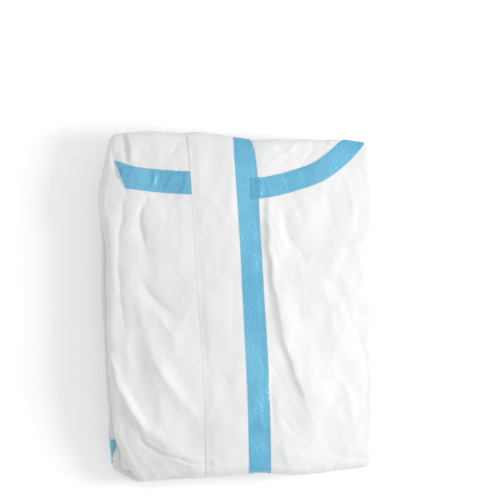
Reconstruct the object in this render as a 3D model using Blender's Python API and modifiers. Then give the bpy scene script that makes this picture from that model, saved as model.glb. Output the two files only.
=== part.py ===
"""Hooded protective coverall, folded flat into a bundle about 250 by 310 mm.

The garment lies with its chest up. Its sides and sleeves are folded behind the
chest, the hood is folded back at the top edge, and the legs are folded to and fro
below in four strips. X runs across the bundle, Y from the waist fold at the front
to the hood fold at the back, and Z up. The origin is under the middle, on the floor.
"""
import math

import bmesh
import bpy
import numpy as np

MM = 0.001

# Cloth walls, in millimetres like every size below.
WALL = 1.2
TAPE_WALL = 1.0
GAP = 0.3

# The top strip's folded edge: how far it reaches out past the flat crown, the
# length of cloth in the turn, and how far round it goes.
REACH = 9.0
TURN = 24.0
TURN_ANGLE = math.radians(150.0)

# Heights of the top strip: its crown, and where its edge ends at the sides and at the
# waist fold. The layers inside lie this far under the crown's cloth.
CROWN_HEIGHT = 38.4
SIDE_LOW = 26.8
FRONT_LOW = 19.3
CORE_DROP = 4.1
# The crown's fall from its middle: half size, then the fall there.
FALL_ACROSS = (112.0, 1.6)
FALL_ALONG = (142.0, 1.4)

# The four strips of legs below, from the chest down. Columns: top, bottom, and
# how far each stands out at the left and at the right.
STRIPS = (
    (27.0, 19.5, 0.0, 0.0),
    (19.5, 13.0, -1.2, 0.8),
    (13.0, 6.5, 0.6, -1.0),
    (6.5, 0.0, -0.8, 0.4),
)
# Heights between which the folded edges are round, top first. At the sides each
# strip has its own edge, and at the ends two strips share a turn.
SIDE_FOLDS = tuple(row[:2] for row in STRIPS)
FRONT_TURNS = ((STRIPS[1][0], STRIPS[2][1]), STRIPS[3][:2])
BACK_TURNS = ((STRIPS[0][0], STRIPS[1][1]), (STRIPS[2][0], STRIPS[3][1]))
SIDE_DEPTH = 4.0
TURN_DEPTH = 5.5
# Heights of the points on each strip's edge, as shares of the strip.
LEVELS = (0.88, 0.5, 0.12, 0.0)
# Between the top strip and the legs the layers narrow to a neck this far in, at this
# height at the waist fold, and the first leg strip starts from a ledge.
NECK = 7.5
NECK_LOW = 21.4
LEDGE = 5.0
LEDGE_DROP = 0.3
# Low waves of the legs' folded edges: height, then lengths in each direction.
RIPPLE = 0.5
RIPPLE_ACROSS = 31.0
RIPPLE_ALONG = 27.0
RIPPLE_DOWN = (4.0, 3.0)

# Where the folded edges lie. Columns: place along the edge, the top strip's edge,
# and the edge of the strips below it.
LEFT_EDGE = (
    (-154.0, -112.0, -118.0),
    (-123.0, -114.0, -120.5),
    (-60.0, -118.5, -122.0),
    (-20.0, -120.0, -123.8),
    (15.0, -120.0, -124.2),
    (57.0, -119.5, -123.6),
    (93.0, -124.6, -122.0),
    (120.0, -121.0, -118.0),
    (152.0, -113.0, -112.0),
)
RIGHT_EDGE = (
    (-150.0, 114.5, 112.0),
    (-48.0, 117.0, 114.5),
    (43.0, 121.0, 118.0),
    (113.0, 124.8, 121.5),
    (143.0, 121.5, 119.0),
)
FRONT_EDGE = (
    (-95.0, -153.4, -152.0),
    (-43.0, -153.6, -151.0),
    (5.0, -152.8, -150.0),
    (45.0, -151.4, -149.0),
    (115.0, -149.8, -147.5),
)
BACK_EDGE = (
    (-112.0, 152.0, 149.0),
    (-77.0, 154.6, 150.5),
    (-45.0, 154.2, 150.0),
    (9.0, 149.0, 148.0),
    (98.0, 148.0, 146.0),
    (121.0, 145.0, 143.0),
)
TOP = 1
BELOW = 2

# Radius of the crown's corners in the same two columns, left then right.
FRONT_CORNERS = ((20.0, 14.0), (11.0, 8.0))
BACK_CORNERS = ((11.0, 9.0), (6.0, 6.0))

# Places along Y where the top strip's edge comes to tuck in lower, round the
# waist fold, and where the leg strip under it draws in to make room.
TUCK_DROP = (-106.0, -122.0)
DRAW_IN = (-88.0, -104.0)

# Places across at which the lines of a piece read the tables of the ends: outer end
# of the left turn, the crown's left and right borders, outer end of the right turn.
ACROSS_LEVELS = (-135.0, -111.0, 112.0, 136.0)

# The storm flap's free edge and the centre tape. Columns: place along Y, then X.
FLAP_EDGE = (
    (-150.0, -39.2),
    (-77.0, -38.4),
    (10.0, -41.2),
    (95.0, -43.4),
    (150.0, -45.4),
)
# The flap's sewn edge, under the tape.
FLAP_SEAM = 11.0
CENTRE_TAPE = (
    (-150.0, -0.8, 16.8),
    (-90.0, 0.4, 18.2),
    (0.0, 0.0, 17.8),
    (75.0, -1.0, 16.6),
    (115.0, -1.6, 16.2),
    (133.0, -2.2, 14.2),
    (148.0, -3.6, 9.6),
)
CENTRE_TAPE_LINES = (0.0, 0.33, 0.66, 0.85, 1.0)
# Across these places the tape comes down from the flap onto the left front.
TAPE_SETTLE = (11.6, 15.5)
# The closed zip fills the space between the fronts.
ZIP_LEFT = -14.0
ZIP_RIGHT = 4.0

# Neck seams, where the hood meets the fronts. Columns: place along X, then Y.
NECK_SEAM_RIGHT = (
    (-128.0, 117.0),
    (-105.0, 112.5),
    (-78.0, 108.5),
    (-60.0, 106.5),
    (-42.0, 105.0),
    (-10.0, 103.5),
)
NECK_SEAM_LEFT = (
    (0.0, 99.4),
    (18.0, 99.6),
    (47.0, 105.3),
    (70.0, 112.8),
    (88.5, 124.5),
    (106.0, 139.0),
)
# The left seam meets the back fold this far short of the crown's right border, and
# the lines across are closer together towards that end.
NECK_SEAM_END = 6.5
LEFT_LINES = (0.0, 0.12, 0.24, 0.36, 0.48, 0.59, 0.69, 0.78, 0.86, 0.93, 1.0)
# Middle line of the left neck tape, which turns with the hood at the back fold.
NECK_TAPE_LEFT_RUN = (
    (16.8, 99.6),
    (32.0, 101.6),
    (47.0, 105.3),
    (70.0, 112.8),
    (88.5, 125.0),
    (103.5, 139.5),
    (108.5, 148.0),
    (110.5, 157.5),
)
NECK_TAPE_WIDTH = 18.5
# How far out the neck tapes lie, and how much more past the start of the turn.
NECK_TAPE_OUT = 1.5
TURN_LIFT = 0.3
TURN_LIFT_BY = 0.15
# Slanted end of the right neck tape, under the shoulder's roll: low, then high.
NECK_TAPE_RIGHT_END = (-100.0, -109.5)

# Largest folds of the chest. Columns: start, middle and end, half width, height.
# Each fades towards its ends.
FOLD_ENDS = (0.03, 0.97)
FOLD_FADE = 0.6
FOLDS = (
    ((-116.0, 147.0), (-109.0, 118.0), (-100.0, 94.0), 6.0, -1.8),
    ((-100.0, 92.0), (-107.0, 56.0), (-104.0, -28.0), 5.0, -2.3),
    ((-113.0, 118.0), (-112.0, 82.0), (-114.0, 15.0), 6.0, 1.2),
    ((-87.0, 92.0), (-87.0, 58.0), (-70.0, 33.0), 5.0, -1.6),
    ((-101.0, 17.0), (-80.0, 3.0), (-60.0, -32.0), 5.5, -2.1),
    ((-91.0, 16.0), (-72.0, -37.0), (-44.0, -86.0), 7.5, 2.2),
    ((-83.0, -20.0), (-71.0, -47.0), (-58.0, -76.0), 5.0, -1.6),
    ((-119.0, -36.0), (-98.0, -99.0), (-44.0, -140.0), 7.0, 2.4),
    ((21.5, 92.0), (22.5, 40.0), (26.0, -20.0), 5.0, 1.0),
    ((26.0, -6.0), (33.0, -45.0), (55.0, -94.0), 5.5, -1.7),
    ((44.0, 84.0), (43.5, 58.0), (52.0, 38.0), 5.0, -1.2),
    ((45.0, -88.0), (53.0, -110.0), (59.0, -134.0), 7.0, 1.3),
    ((-99.5, 151.0), (-98.0, 137.0), (-96.0, 122.0), 5.0, -1.8),
)
# The chest bends down outside this arc, towards the left and the waist fold.
BEND_ARC = ((-126.0, -20.0), (-104.0, -90.0), (-70.0, -132.0), (-10.0, -151.0))
BEND_DROP = 4.6
BEND_WIDTH = 26.0

# The tape on a leg seam that shows at the left corner, along Y, and how far round
# the strip's edge it is built.
LEG_TAPE = (-135.0, -117.0)
LEG_TAPE_ANGLES = (-50.0, 74.0)
LEG_TAPE_STRIP = 1

# Colours in sRGB, from 0 to 255.
CLOTH_WHITE = (232, 236, 238)
CLOTH_GREY = (222, 225, 226)
TAPE_BLUE = (104, 184, 216)
ZIP_WHITE = (226, 229, 231)


def clear_scene():
    """Remove what the file opens with."""
    for item in list(bpy.data.objects):
        bpy.data.objects.remove(item)
    for group in list(bpy.data.collections):
        bpy.data.collections.remove(group)


def finish(name, srgb, roughness):
    """Plain material of one piece."""
    material = bpy.data.materials.new(name)
    material.use_nodes = True
    shader = material.node_tree.nodes["Principled BSDF"]
    linear = [((value / 255.0 + 0.055) / 1.055) ** 2.4 for value in srgb]
    shader.inputs["Base Color"].default_value = (*linear, 1.0)
    shader.inputs["Roughness"].default_value = roughness
    shader.inputs["Metallic"].default_value = 0.0
    material.diffuse_color = (*linear, 1.0)
    return material


def smooth(low, high, value):
    """Soft step from 0 at low to 1 at high."""
    part = np.clip((value - low) / (high - low), 0.0, 1.0)
    return part * part * (3.0 - 2.0 * part)


def along(rows, column, place):
    """Smooth value of one column at a place between the rows."""
    keys = np.array([row[0] for row in rows])
    values = np.array([row[column] for row in rows])
    slopes = np.gradient(values, keys)
    first = np.clip(np.searchsorted(keys, place) - 1, 0, len(keys) - 2)
    span = keys[first + 1] - keys[first]
    part = np.clip((place - keys[first]) / span, 0.0, 1.0)
    rise = part * part * (3.0 - 2.0 * part)
    lead = part * (1.0 - part) ** 2 * span * slopes[first]
    tail = part * part * (part - 1.0) * span * slopes[first + 1]
    return values[first] * (1.0 - rise) + values[first + 1] * rise + lead + tail


def curve_through(points, count=25):
    """Evenly spread points of the smooth curve through the given ones."""
    rows = [(index, x, y) for index, (x, y) in enumerate(points)]
    places = np.linspace(0.0, len(points) - 1.0, count)
    return np.stack([along(rows, 1, places), along(rows, 2, places)], axis=1)


def from_curve(curve, x, y):
    """Distance from a curve, place along it from 0 to 1, and side (left is +1)."""
    away_x = x[..., None] - curve[:, 0]
    away_y = y[..., None] - curve[:, 1]
    squared = away_x ** 2 + away_y ** 2
    near = np.argmin(squared, axis=-1)
    heading = np.gradient(curve, axis=0)[near]
    offset_x = np.take_along_axis(away_x, near[..., None], axis=-1)[..., 0]
    offset_y = np.take_along_axis(away_y, near[..., None], axis=-1)[..., 0]
    side = np.sign(heading[..., 0] * offset_y - heading[..., 1] * offset_x)
    distance = np.sqrt(np.min(squared, axis=-1))
    return distance, near / (len(curve) - 1.0), side


def crown(x, y, folds=FOLDS):
    """Height of the chest over the floor, with its largest folds."""
    height = CROWN_HEIGHT - FALL_ACROSS[1] * np.abs(x / FALL_ACROSS[0]) ** 3
    height = height - FALL_ALONG[1] * np.abs(y / FALL_ALONG[0]) ** 4
    for start, middle, end, half_width, rise in folds:
        distance, place, _ = from_curve(curve_through((start, middle, end)), x, y)
        ends = np.sin(math.pi * np.clip(place, *FOLD_ENDS)) ** FOLD_FADE
        height = height + rise * ends * np.exp(-(distance / half_width) ** 2)
    distance, _, side = from_curve(curve_through(BEND_ARC, 40), x, y)
    return height - BEND_DROP * smooth(0.0, BEND_WIDTH, -side * distance)


def borders(x, y, column):
    """Borders of the flat crown at a place: left, right, front and back."""
    return (
        along(LEFT_EDGE, column, y) + REACH,
        along(RIGHT_EDGE, column, y) - REACH,
        along(FRONT_EDGE, column, x) + REACH,
        along(BACK_EDGE, column, x) - REACH,
    )


def past_borders(u, v, column):
    """How far a point of the opened-out cloth is past the crown, across and along."""
    left, right, front, back = borders(u, v, column)
    over_x = np.maximum(np.maximum(left - u, u - right), 0.0) / TURN
    over_y = np.maximum(np.maximum(front - v, v - back), 0.0) / TURN
    return over_x, over_y


def corner_radius(u, v, column):
    """Radius of the crown's nearest corner."""
    pick = column - 1
    front = np.where(u < 0.0, FRONT_CORNERS[0][pick], FRONT_CORNERS[1][pick])
    back = np.where(u < 0.0, BACK_CORNERS[0][pick], BACK_CORNERS[1][pick])
    return np.where(v < 0.0, front, back)


def in_plan(u, v, reach, column):
    """Place in plan of a point of the opened-out cloth, on a ring at this reach."""
    left, right, front, back = borders(u, v, column)
    over_x, over_y = past_borders(u, v, column)
    over = np.maximum(np.maximum(over_x, over_y), 1e-9)
    side_x = np.where(u > 0.0, 1.0, -1.0)
    side_y = np.where(v > 0.0, 1.0, -1.0)
    x = np.clip(u, left, right) + side_x * over_x / over * reach
    y = np.clip(v, front, back) + side_y * over_y / over * reach
    radius = corner_radius(u, v, column)
    centre_x = np.where(side_x < 0.0, left + radius, right - radius)
    centre_y = np.where(side_y < 0.0, front + radius, back - radius)
    out_x = side_x * (x - centre_x)
    out_y = side_y * (y - centre_y)
    corner = (out_x > 0.0) & (out_y > 0.0)
    scale = np.maximum(out_x, out_y) / np.maximum(np.hypot(out_x, out_y), 1e-9)
    x = np.where(corner, centre_x + side_x * out_x * scale, x)
    y = np.where(corner, centre_y + side_y * out_y * scale, y)
    return x, y


def skin(u, v, out=0.0, folded=True):
    """Point of the top strip's outer face, or of a face this far out from it."""
    over_x, over_y = past_borders(u, v, TOP)
    angle = np.maximum(over_x, over_y) * TURN_ANGLE
    x, y = in_plan(u, v, (REACH + out) * np.sin(angle), TOP)
    edge_x, edge_y = in_plan(u, v, 0.0, TOP)
    top = crown(edge_x, edge_y, FOLDS if folded else ())
    drop = smooth(TUCK_DROP[0], TUCK_DROP[1], edge_y)
    low = SIDE_LOW + (FRONT_LOW - SIDE_LOW) * drop
    z = (top + low) / 2.0 + ((top - low) / 2.0 + out) * np.cos(angle)
    return np.stack([x, y, z], axis=-1)


def fold_inset(z, spans, depth):
    """How far a folded edge lies in from its fullest place, at one height."""
    inset = depth
    for top, bottom in spans:
        part = (z - (top + bottom) / 2.0) / ((top - bottom) / 2.0)
        curved = depth * (1.0 - np.sqrt(np.maximum(0.0, 1.0 - part * part)))
        inset = np.where(np.abs(part) < 1.0, curved, inset)
    return inset


def leg_face(u, v, z, strip, ledge=0.0, out=0.0, rise=0.0):
    """Point of the folded legs' outer face at height z, on one of their strips."""
    over_x, over_y = past_borders(u, v, BELOW)
    share_x = over_x ** 2 / (over_x ** 2 + over_y ** 2)
    side = np.maximum(ledge, fold_inset(z, SIDE_FOLDS, SIDE_DEPTH))
    front = np.maximum(ledge, fold_inset(z, FRONT_TURNS, TURN_DEPTH))
    back = np.maximum(ledge, fold_inset(z, BACK_TURNS, TURN_DEPTH))
    inset = share_x * side + (1.0 - share_x) * np.where(v < 0.0, front, back)
    stand = share_x * np.where(u < 0.0, STRIPS[strip][2], STRIPS[strip][3])
    x, y = in_plan(u, v, REACH - inset + stand + out, BELOW)
    wave = np.sin(x / RIPPLE_ACROSS + z / RIPPLE_DOWN[0])
    wave = wave * np.cos(y / RIPPLE_ALONG + z / RIPPLE_DOWN[1])
    fade = np.sin(math.pi * z / STRIPS[0][0])
    return np.stack([x, y, z + rise + RIPPLE * fade * wave], axis=-1)


def steps(low, high, count):
    """Even places from low up to high, without high itself."""
    return list(np.linspace(low, high, count, endpoint=False))


# Lines of the grids, across and lengthways. Whole numbers part the turn at the left
# or front, the crown, and the turn at the right or back.
FULL_LENGTH = steps(-1, 0, 6) + steps(0, 1, 28) + steps(1, 2, 6) + [2.0]
FRONT_LENGTH = steps(-1, 0, 6) + steps(0, 1, 28) + [1.0]
PLAIN_LENGTH = steps(-1, 0, 6) + steps(0, 1, 22) + steps(1, 2, 6) + [2.0]
OVERLAY_LENGTH = FULL_LENGTH[1:-1]
HOOD_LENGTH = steps(0, 1, 4) + steps(1, 2, 6) + [2.0]
RIGHT_WIDTH = steps(-1, 0, 6) + steps(0, 0.21, 6) + steps(0.21, 1, 10) + [1.0]
LEFT_WIDTH = steps(0, 1, 10) + [1.0] + steps(2, 3, 6) + [3.0]
CORE_WIDTH = steps(-1, 0, 3) + steps(0, 1, 13) + steps(1, 2, 3) + [2.0]
CORE_LENGTH = steps(-1, 0, 3) + steps(0, 1, 16) + steps(1, 2, 3) + [2.0]


def lengthwise(t, low, high):
    """Place along the cloth: before 0 and past 1 it turns round the bundle's edge."""
    inner = low + (high - low) * np.clip(t, 0.0, 1.0)
    return inner + TURN * (np.minimum(t, 0.0) + np.maximum(t - 1.0, 0.0))


def front_border(u):
    """Where the waist fold starts to turn down."""
    return along(FRONT_EDGE, TOP, u) + REACH


def back_border(u):
    """Where the hood's fold starts to turn down."""
    return along(BACK_EDGE, TOP, u) - REACH


def right_front_across(s, v):
    """Across the wearer's right front, from its side fold to the zip."""
    left = along(LEFT_EDGE, TOP, v) + REACH
    return left + np.where(s < 0.0, s * TURN, s * (ZIP_LEFT - GAP - left))


def right_level(s):
    """Place across at which a line of the right front reads the tables of the ends."""
    return np.interp(s, (-1.0, 0.0, 1.0), (*ACROSS_LEVELS[:2], ZIP_LEFT))


def front_right(s, t):
    """The wearer's right front, from the waist fold to the neck seam."""
    level = right_level(s)
    seam = along(NECK_SEAM_RIGHT, 1, level) - GAP / 2.0
    v = lengthwise(t, front_border(level), seam)
    return skin(right_front_across(s, v), v)


def hood_right(s, t):
    """Right side of the hood, from the neck seam to the hood's fold."""
    level = right_level(s)
    seam = along(NECK_SEAM_RIGHT, 1, level) + GAP / 2.0
    v = lengthwise(t, seam, back_border(level))
    return skin(right_front_across(s, v), v)


def left_front_across(s, v):
    """Across the wearer's left front: zip, seam's end on the back fold, side fold."""
    right = along(RIGHT_EDGE, TOP, v) - REACH
    start = ZIP_RIGHT + GAP
    share = np.interp(s, np.linspace(0.0, 1.0, len(LEFT_LINES)), LEFT_LINES)
    inner = start + share * (right - NECK_SEAM_END - start)
    return np.where(s <= 1.0, inner, right + (s - 2.0) * TURN)


def left_seam(s, side):
    """Level across and place along of the left neck seam, a half gap to one side."""
    start = ZIP_RIGHT + GAP
    share = np.interp(s, np.linspace(0.0, 1.0, len(LEFT_LINES)), LEFT_LINES)
    level = start + share * (NECK_SEAM_LEFT[-1][0] - start)
    slope = along(NECK_SEAM_LEFT, 1, level + 0.5) - along(NECK_SEAM_LEFT, 1, level - 0.5)
    seam = np.minimum(along(NECK_SEAM_LEFT, 1, level), back_border(level))
    return level, seam + side * GAP / 2.0 * np.sqrt(1.0 + slope ** 2)


def front_left(s, t):
    """The wearer's left front, which turns down at the right and over the back fold."""
    level, seam = left_seam(np.minimum(s, 1.0), -1.0)
    level = np.where(s > 1.0, level + (s - 1.0) * REACH, level)
    high = np.where(s >= 1.0, back_border(level), seam)
    v = lengthwise(t, front_border(level), high)
    return skin(left_front_across(s, v), v)


def hood_left(s, t):
    """Left side of the hood, a triangle between the neck seam and the hood's fold."""
    level, seam = left_seam(s, 1.0)
    v = lengthwise(t, seam, np.maximum(back_border(level), seam + GAP))
    return skin(left_front_across(s, v) - GAP * (s >= 1.0), v)


def full_length(t, level):
    """Place along a piece that runs from under the waist fold to under the hood's."""
    return lengthwise(t, front_border(level), back_border(level))


def storm_flap(s, t):
    """The flap over the zip, from its free edge to its seam under the centre tape."""
    v = full_length(t, FLAP_EDGE[2][1] + s * (FLAP_SEAM - FLAP_EDGE[2][1]))
    edge = along(FLAP_EDGE, 1, v)
    return skin(edge + s * (FLAP_SEAM - edge), v, GAP + TAPE_WALL)


def zip_tapes(s, t):
    """The closed zip between the fronts, under the flap."""
    u = ZIP_LEFT + s * (ZIP_RIGHT - ZIP_LEFT)
    return skin(u, full_length(t, u))


def centre_tape(s, t):
    """The tape on the flap's seam, which lies half on the flap."""
    v = full_length(t, CENTRE_TAPE[2][1] + s * (CENTRE_TAPE[2][2] - CENTRE_TAPE[2][1]))
    left = along(CENTRE_TAPE, 1, v)
    u = left + s * (along(CENTRE_TAPE, 2, v) - left)
    on_flap = 1.0 - smooth(TAPE_SETTLE[0], TAPE_SETTLE[1], u)
    return skin(u, v, (GAP + TAPE_WALL) * (1.0 + on_flap))


def neck_tape_right(s, t):
    """Tape on the right neck seam, from the shoulder's roll to the flap's free edge."""
    low_end, high_end = NECK_TAPE_RIGHT_END
    left = low_end + (high_end - low_end) * t
    middle = along(NECK_SEAM_RIGHT, 1, left)
    right = along(FLAP_EDGE, 1, middle) - GAP
    u = left + s * (right - left)
    v = along(NECK_SEAM_RIGHT, 1, u) + (t - 0.5) * NECK_TAPE_WIDTH
    return skin(u, v, NECK_TAPE_OUT)


def neck_tape_left(s, t):
    """Tape on the left neck seam, from the centre tape over the hood's fold."""
    curve = curve_through(NECK_TAPE_LEFT_RUN, 200)
    heading = np.gradient(curve, axis=0)
    heading[0] = (1.0, 0.0)
    heading /= np.linalg.norm(heading, axis=1)[:, None]
    at = np.rint(s * (len(curve) - 1)).astype(int)
    offset = (t - 0.5) * NECK_TAPE_WIDTH
    u = curve[at, 0] - heading[at, 1] * offset
    v = curve[at, 1] + heading[at, 0] * offset
    over = np.maximum(*past_borders(u, v, TOP))
    return skin(u, v, NECK_TAPE_OUT + TURN_LIFT * smooth(0.0, TURN_LIFT_BY, over))


def leg_tape(s, t):
    """Tape on a leg seam, where it wraps a strip's folded edge at the left."""
    v = LEG_TAPE[1] + s * (LEG_TAPE[0] - LEG_TAPE[1])
    u = along(LEFT_EDGE, BELOW, v) + REACH - TURN
    low, high = (math.radians(angle) for angle in LEG_TAPE_ANGLES)
    angle = low + t * (high - low)
    top, bottom = STRIPS[LEG_TAPE_STRIP][:2]
    z = (top + bottom) / 2.0 + (top - bottom) / 2.0 * np.sin(angle)
    out = GAP + TAPE_WALL
    return leg_face(u, v, z, LEG_TAPE_STRIP, 0.0, out * np.cos(angle), out * np.sin(angle))


def piece(name, across, lengthways, place, wall, material, group):
    """Grid of cloth laid out by a function and given its wall, inwards."""
    columns = len(across) - 1
    rows = len(lengthways) - 1
    bpy.ops.mesh.primitive_grid_add(x_subdivisions=columns, y_subdivisions=rows, size=2.0)
    cloth = bpy.context.object
    cloth.name = name
    cloth.data.name = name
    points = np.empty(len(cloth.data.vertices) * 3)
    cloth.data.vertices.foreach_get("co", points)
    points = points.reshape(-1, 3)
    column = np.rint((points[:, 0] + 1.0) / 2.0 * columns).astype(int)
    row = np.rint((points[:, 1] + 1.0) / 2.0 * rows).astype(int)
    laid = place(np.array(across)[column], np.array(lengthways)[row]) * MM
    cloth.data.vertices.foreach_set("co", laid.ravel())
    cloth.data.materials.append(material)
    if wall:
        shell = cloth.modifiers.new("Wall", "SOLIDIFY")
        shell.thickness = wall * MM
        shell.offset = -1.0
    cloth.data.shade_smooth()
    for owner in list(cloth.users_collection):
        owner.objects.unlink(cloth)
    group.objects.link(cloth)
    return cloth


def cut_away_past_seam(cloth):
    """Open the left front where the hood takes over, short of the seam's end."""
    columns = len(LEFT_WIDTH)
    keep_from = LEFT_WIDTH.index(1.0)
    keep_to = PLAIN_LENGTH.index(1.0)
    shape = bmesh.new()
    shape.from_mesh(cloth.data)
    shape.verts.ensure_lookup_table()
    spare = []
    for face in shape.faces:
        across = sum(vert.index % columns for vert in face.verts) / len(face.verts)
        lengthways = sum(vert.index // columns for vert in face.verts) / len(face.verts)
        if across < keep_from and lengthways > keep_to:
            spare.append(face)
    bmesh.ops.delete(shape, geom=spare, context="FACES")
    shape.to_mesh(cloth.data)
    shape.free()


def core_place(s, t):
    """Place of the layers inside the top strip on the opened-out cloth."""
    v = full_length(t, np.interp(s, (-1.0, 0.0, 1.0, 2.0), ACROSS_LEVELS))
    left = along(LEFT_EDGE, TOP, v) + REACH
    right = along(RIGHT_EDGE, TOP, v) - REACH
    return lengthwise(s, left, right), v


def core_skin(s, t):
    """Top face of the layers inside the top strip, plain and under its cloth."""
    return skin(*core_place(s, t), -CORE_DROP, False)


def leg_rings(u, v):
    """Rings of points down the folded layers, from the neck under the top strip."""
    neck_x, neck_y = in_plan(u, v, REACH - NECK, TOP)
    top, joint = STRIPS[0][:2]
    neck_z = top + (NECK_LOW - top) * smooth(TUCK_DROP[0], TUCK_DROP[1], neck_y)
    rings = [np.stack([neck_x, neck_y, neck_z], axis=-1)]
    drawn = smooth(DRAW_IN[0], DRAW_IN[1], neck_y)
    heights = [top - LEDGE_DROP] + [joint + part * (top - joint) for part in LEVELS[:-1]]
    for z, ledge in zip(heights, (LEDGE, 0.0, 0.0, 0.0)):
        ring = leg_face(u, v, z, 0, ledge)
        ring[..., 0] += (neck_x - ring[..., 0]) * drawn
        ring[..., 1] += (neck_y - ring[..., 1]) * drawn
        ring[..., 2] = joint + (ring[..., 2] - joint) * (neck_z - joint) / (top - joint)
        rings.append(ring)
    rings.append(leg_face(u, v, joint, 0))
    for strip in (1, 2, 3):
        top, bottom = STRIPS[strip][:2]
        for part in LEVELS:
            rings.append(leg_face(u, v, bottom + part * (top - bottom), strip))
    return rings


def folded_layers(material, group):
    """Back, sleeves and legs, folded behind the chest, as one layered solid."""
    core = piece("folded_layers", CORE_WIDTH, CORE_LENGTH, core_skin, 0.0, material, group)
    shape = bmesh.new()
    shape.from_mesh(core.data)
    across = shape.verts.layers.float.new("across")
    lengthways = shape.verts.layers.float.new("lengthways")
    columns = len(CORE_WIDTH)
    for vert in shape.verts:
        s = CORE_WIDTH[vert.index % columns]
        t = CORE_LENGTH[vert.index // columns]
        vert[across], vert[lengthways] = core_place(s, t)
    border = [edge for edge in shape.edges if edge.is_boundary]
    for ring in range(2 + len(LEVELS) * len(STRIPS)):
        made = bmesh.ops.extrude_edge_only(shape, edges=border)["geom"]
        verts = [item for item in made if isinstance(item, bmesh.types.BMVert)]
        u = np.array([vert[across] for vert in verts])
        v = np.array([vert[lengthways] for vert in verts])
        for vert, point in zip(verts, leg_rings(u, v)[ring]):
            vert.co = point * MM
        border = [
            item for item in made
            if isinstance(item, bmesh.types.BMEdge) and item.is_boundary
        ]
    bmesh.ops.edgeloop_fill(shape, edges=border)
    bmesh.ops.recalc_face_normals(shape, faces=shape.faces)
    shape.to_mesh(core.data)
    shape.free()
    return core


def main():
    clear_scene()
    garment = bpy.data.collections.new("hooded_protective_coverall")
    bpy.context.scene.collection.children.link(garment)
    cloth = finish("white laminate cloth", CLOTH_WHITE, 0.62)
    inner = finish("white laminate cloth below", CLOTH_GREY, 0.68)
    blue = finish("blue seam tape", TAPE_BLUE, 0.32)
    white_zip = finish("white zip tape", ZIP_WHITE, 0.7)

    folded_layers(inner, garment)
    piece("front_right", RIGHT_WIDTH, FRONT_LENGTH, front_right, WALL, cloth, garment)
    left = piece("front_left", LEFT_WIDTH, PLAIN_LENGTH, front_left, WALL, cloth, garment)
    cut_away_past_seam(left)
    piece("hood_right", RIGHT_WIDTH, HOOD_LENGTH, hood_right, WALL, cloth, garment)
    hood_width = [s for s in LEFT_WIDTH if s <= 1.0]
    piece("hood_left", hood_width, HOOD_LENGTH, hood_left, WALL, cloth, garment)
    piece("zip_tapes", steps(0, 1, 2) + [1.0], FULL_LENGTH, zip_tapes, WALL, white_zip, garment)
    flap_width = steps(0, 1, 4) + [1.0]
    piece("storm_flap", flap_width, OVERLAY_LENGTH, storm_flap, TAPE_WALL, cloth, garment)
    tape_lines = CENTRE_TAPE_LINES
    piece("centre_tape", tape_lines, OVERLAY_LENGTH, centre_tape, TAPE_WALL, blue, garment)
    right_run = steps(0, 0.3, 6) + steps(0.3, 1, 6) + [1.0]
    quarters = steps(0, 1, 4) + [1.0]
    piece("neck_tape_right", right_run, quarters, neck_tape_right, TAPE_WALL, blue, garment)
    left_run = steps(0, 0.7, 8) + steps(0.7, 1, 16) + [1.0]
    piece("neck_tape_left", left_run, quarters, neck_tape_left, TAPE_WALL, blue, garment)
    round_edge = steps(0, 1, 8) + [1.0]
    piece("leg_tape", quarters, round_edge, leg_tape, TAPE_WALL, blue, garment)


main()
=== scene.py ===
"""Looks of a hooded protective coverall that lies folded flat, chest up.

White laminated nonwoven cloth with blue sealing tape on its seams. Sizes are in
millimetres where they describe the garment, and MM turns them into metres.
"""

import itertools
import math

import bmesh
import bpy
import numpy as np
from mathutils import Matrix, Vector


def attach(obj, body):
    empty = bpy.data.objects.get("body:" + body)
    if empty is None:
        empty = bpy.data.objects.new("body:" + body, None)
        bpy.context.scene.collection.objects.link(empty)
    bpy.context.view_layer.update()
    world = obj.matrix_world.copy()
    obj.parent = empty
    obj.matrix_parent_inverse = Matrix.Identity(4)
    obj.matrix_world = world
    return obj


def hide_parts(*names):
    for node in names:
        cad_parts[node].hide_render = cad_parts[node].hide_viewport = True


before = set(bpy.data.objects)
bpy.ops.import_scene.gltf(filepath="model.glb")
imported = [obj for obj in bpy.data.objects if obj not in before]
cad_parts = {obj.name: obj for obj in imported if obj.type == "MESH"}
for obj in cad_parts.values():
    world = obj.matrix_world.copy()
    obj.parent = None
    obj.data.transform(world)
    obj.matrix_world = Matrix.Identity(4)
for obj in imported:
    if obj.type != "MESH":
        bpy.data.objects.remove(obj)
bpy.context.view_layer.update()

MM = 0.001

# Thickness of the cloth, of the doubled flap and of the tape. How far the tape's face
# lies out from what it is sealed on, and how much less under the flap's free edge.
CLOTH = 0.45
FLAP_CLOTH = 0.4
TAPE = 0.3
TAPE_OUT = 0.42
TAPE_TUCK = 0.3
# How far the flap lies out, what it lifts, and what its two edges are pressed down.
FLAP_OUT = 0.8
FLAP_LIFT = 0.3
FLAP_PRESSED = 0.62
FLAP_SEAM_DOWN = 0.62
# Gap between neighbouring pieces of cloth.
GAP = 0.06

# The top strip's folded edge: reach past the crown, cloth in the turn, angle.
REACH = 9.0
TURN = 24.0
TURN_ANGLE = math.radians(150.0)
# Height of the crown, and of the turned edge's end at the sides and at the front.
CROWN_HEIGHT = 38.4
SIDE_LOW = 26.8
FRONT_LOW = 19.3
# How the crown falls away from its middle: distance, fall there, and power.
FALL_ACROSS = (112.0, 1.6, 3)
FALL_ALONG = (142.0, 1.4, 4)
# Where the edge comes to tuck in lower, and how much less its end goes in there.
TUCK_DROP = (-106.0, -122.0)
TUCK_LESS = 0.75

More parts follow.
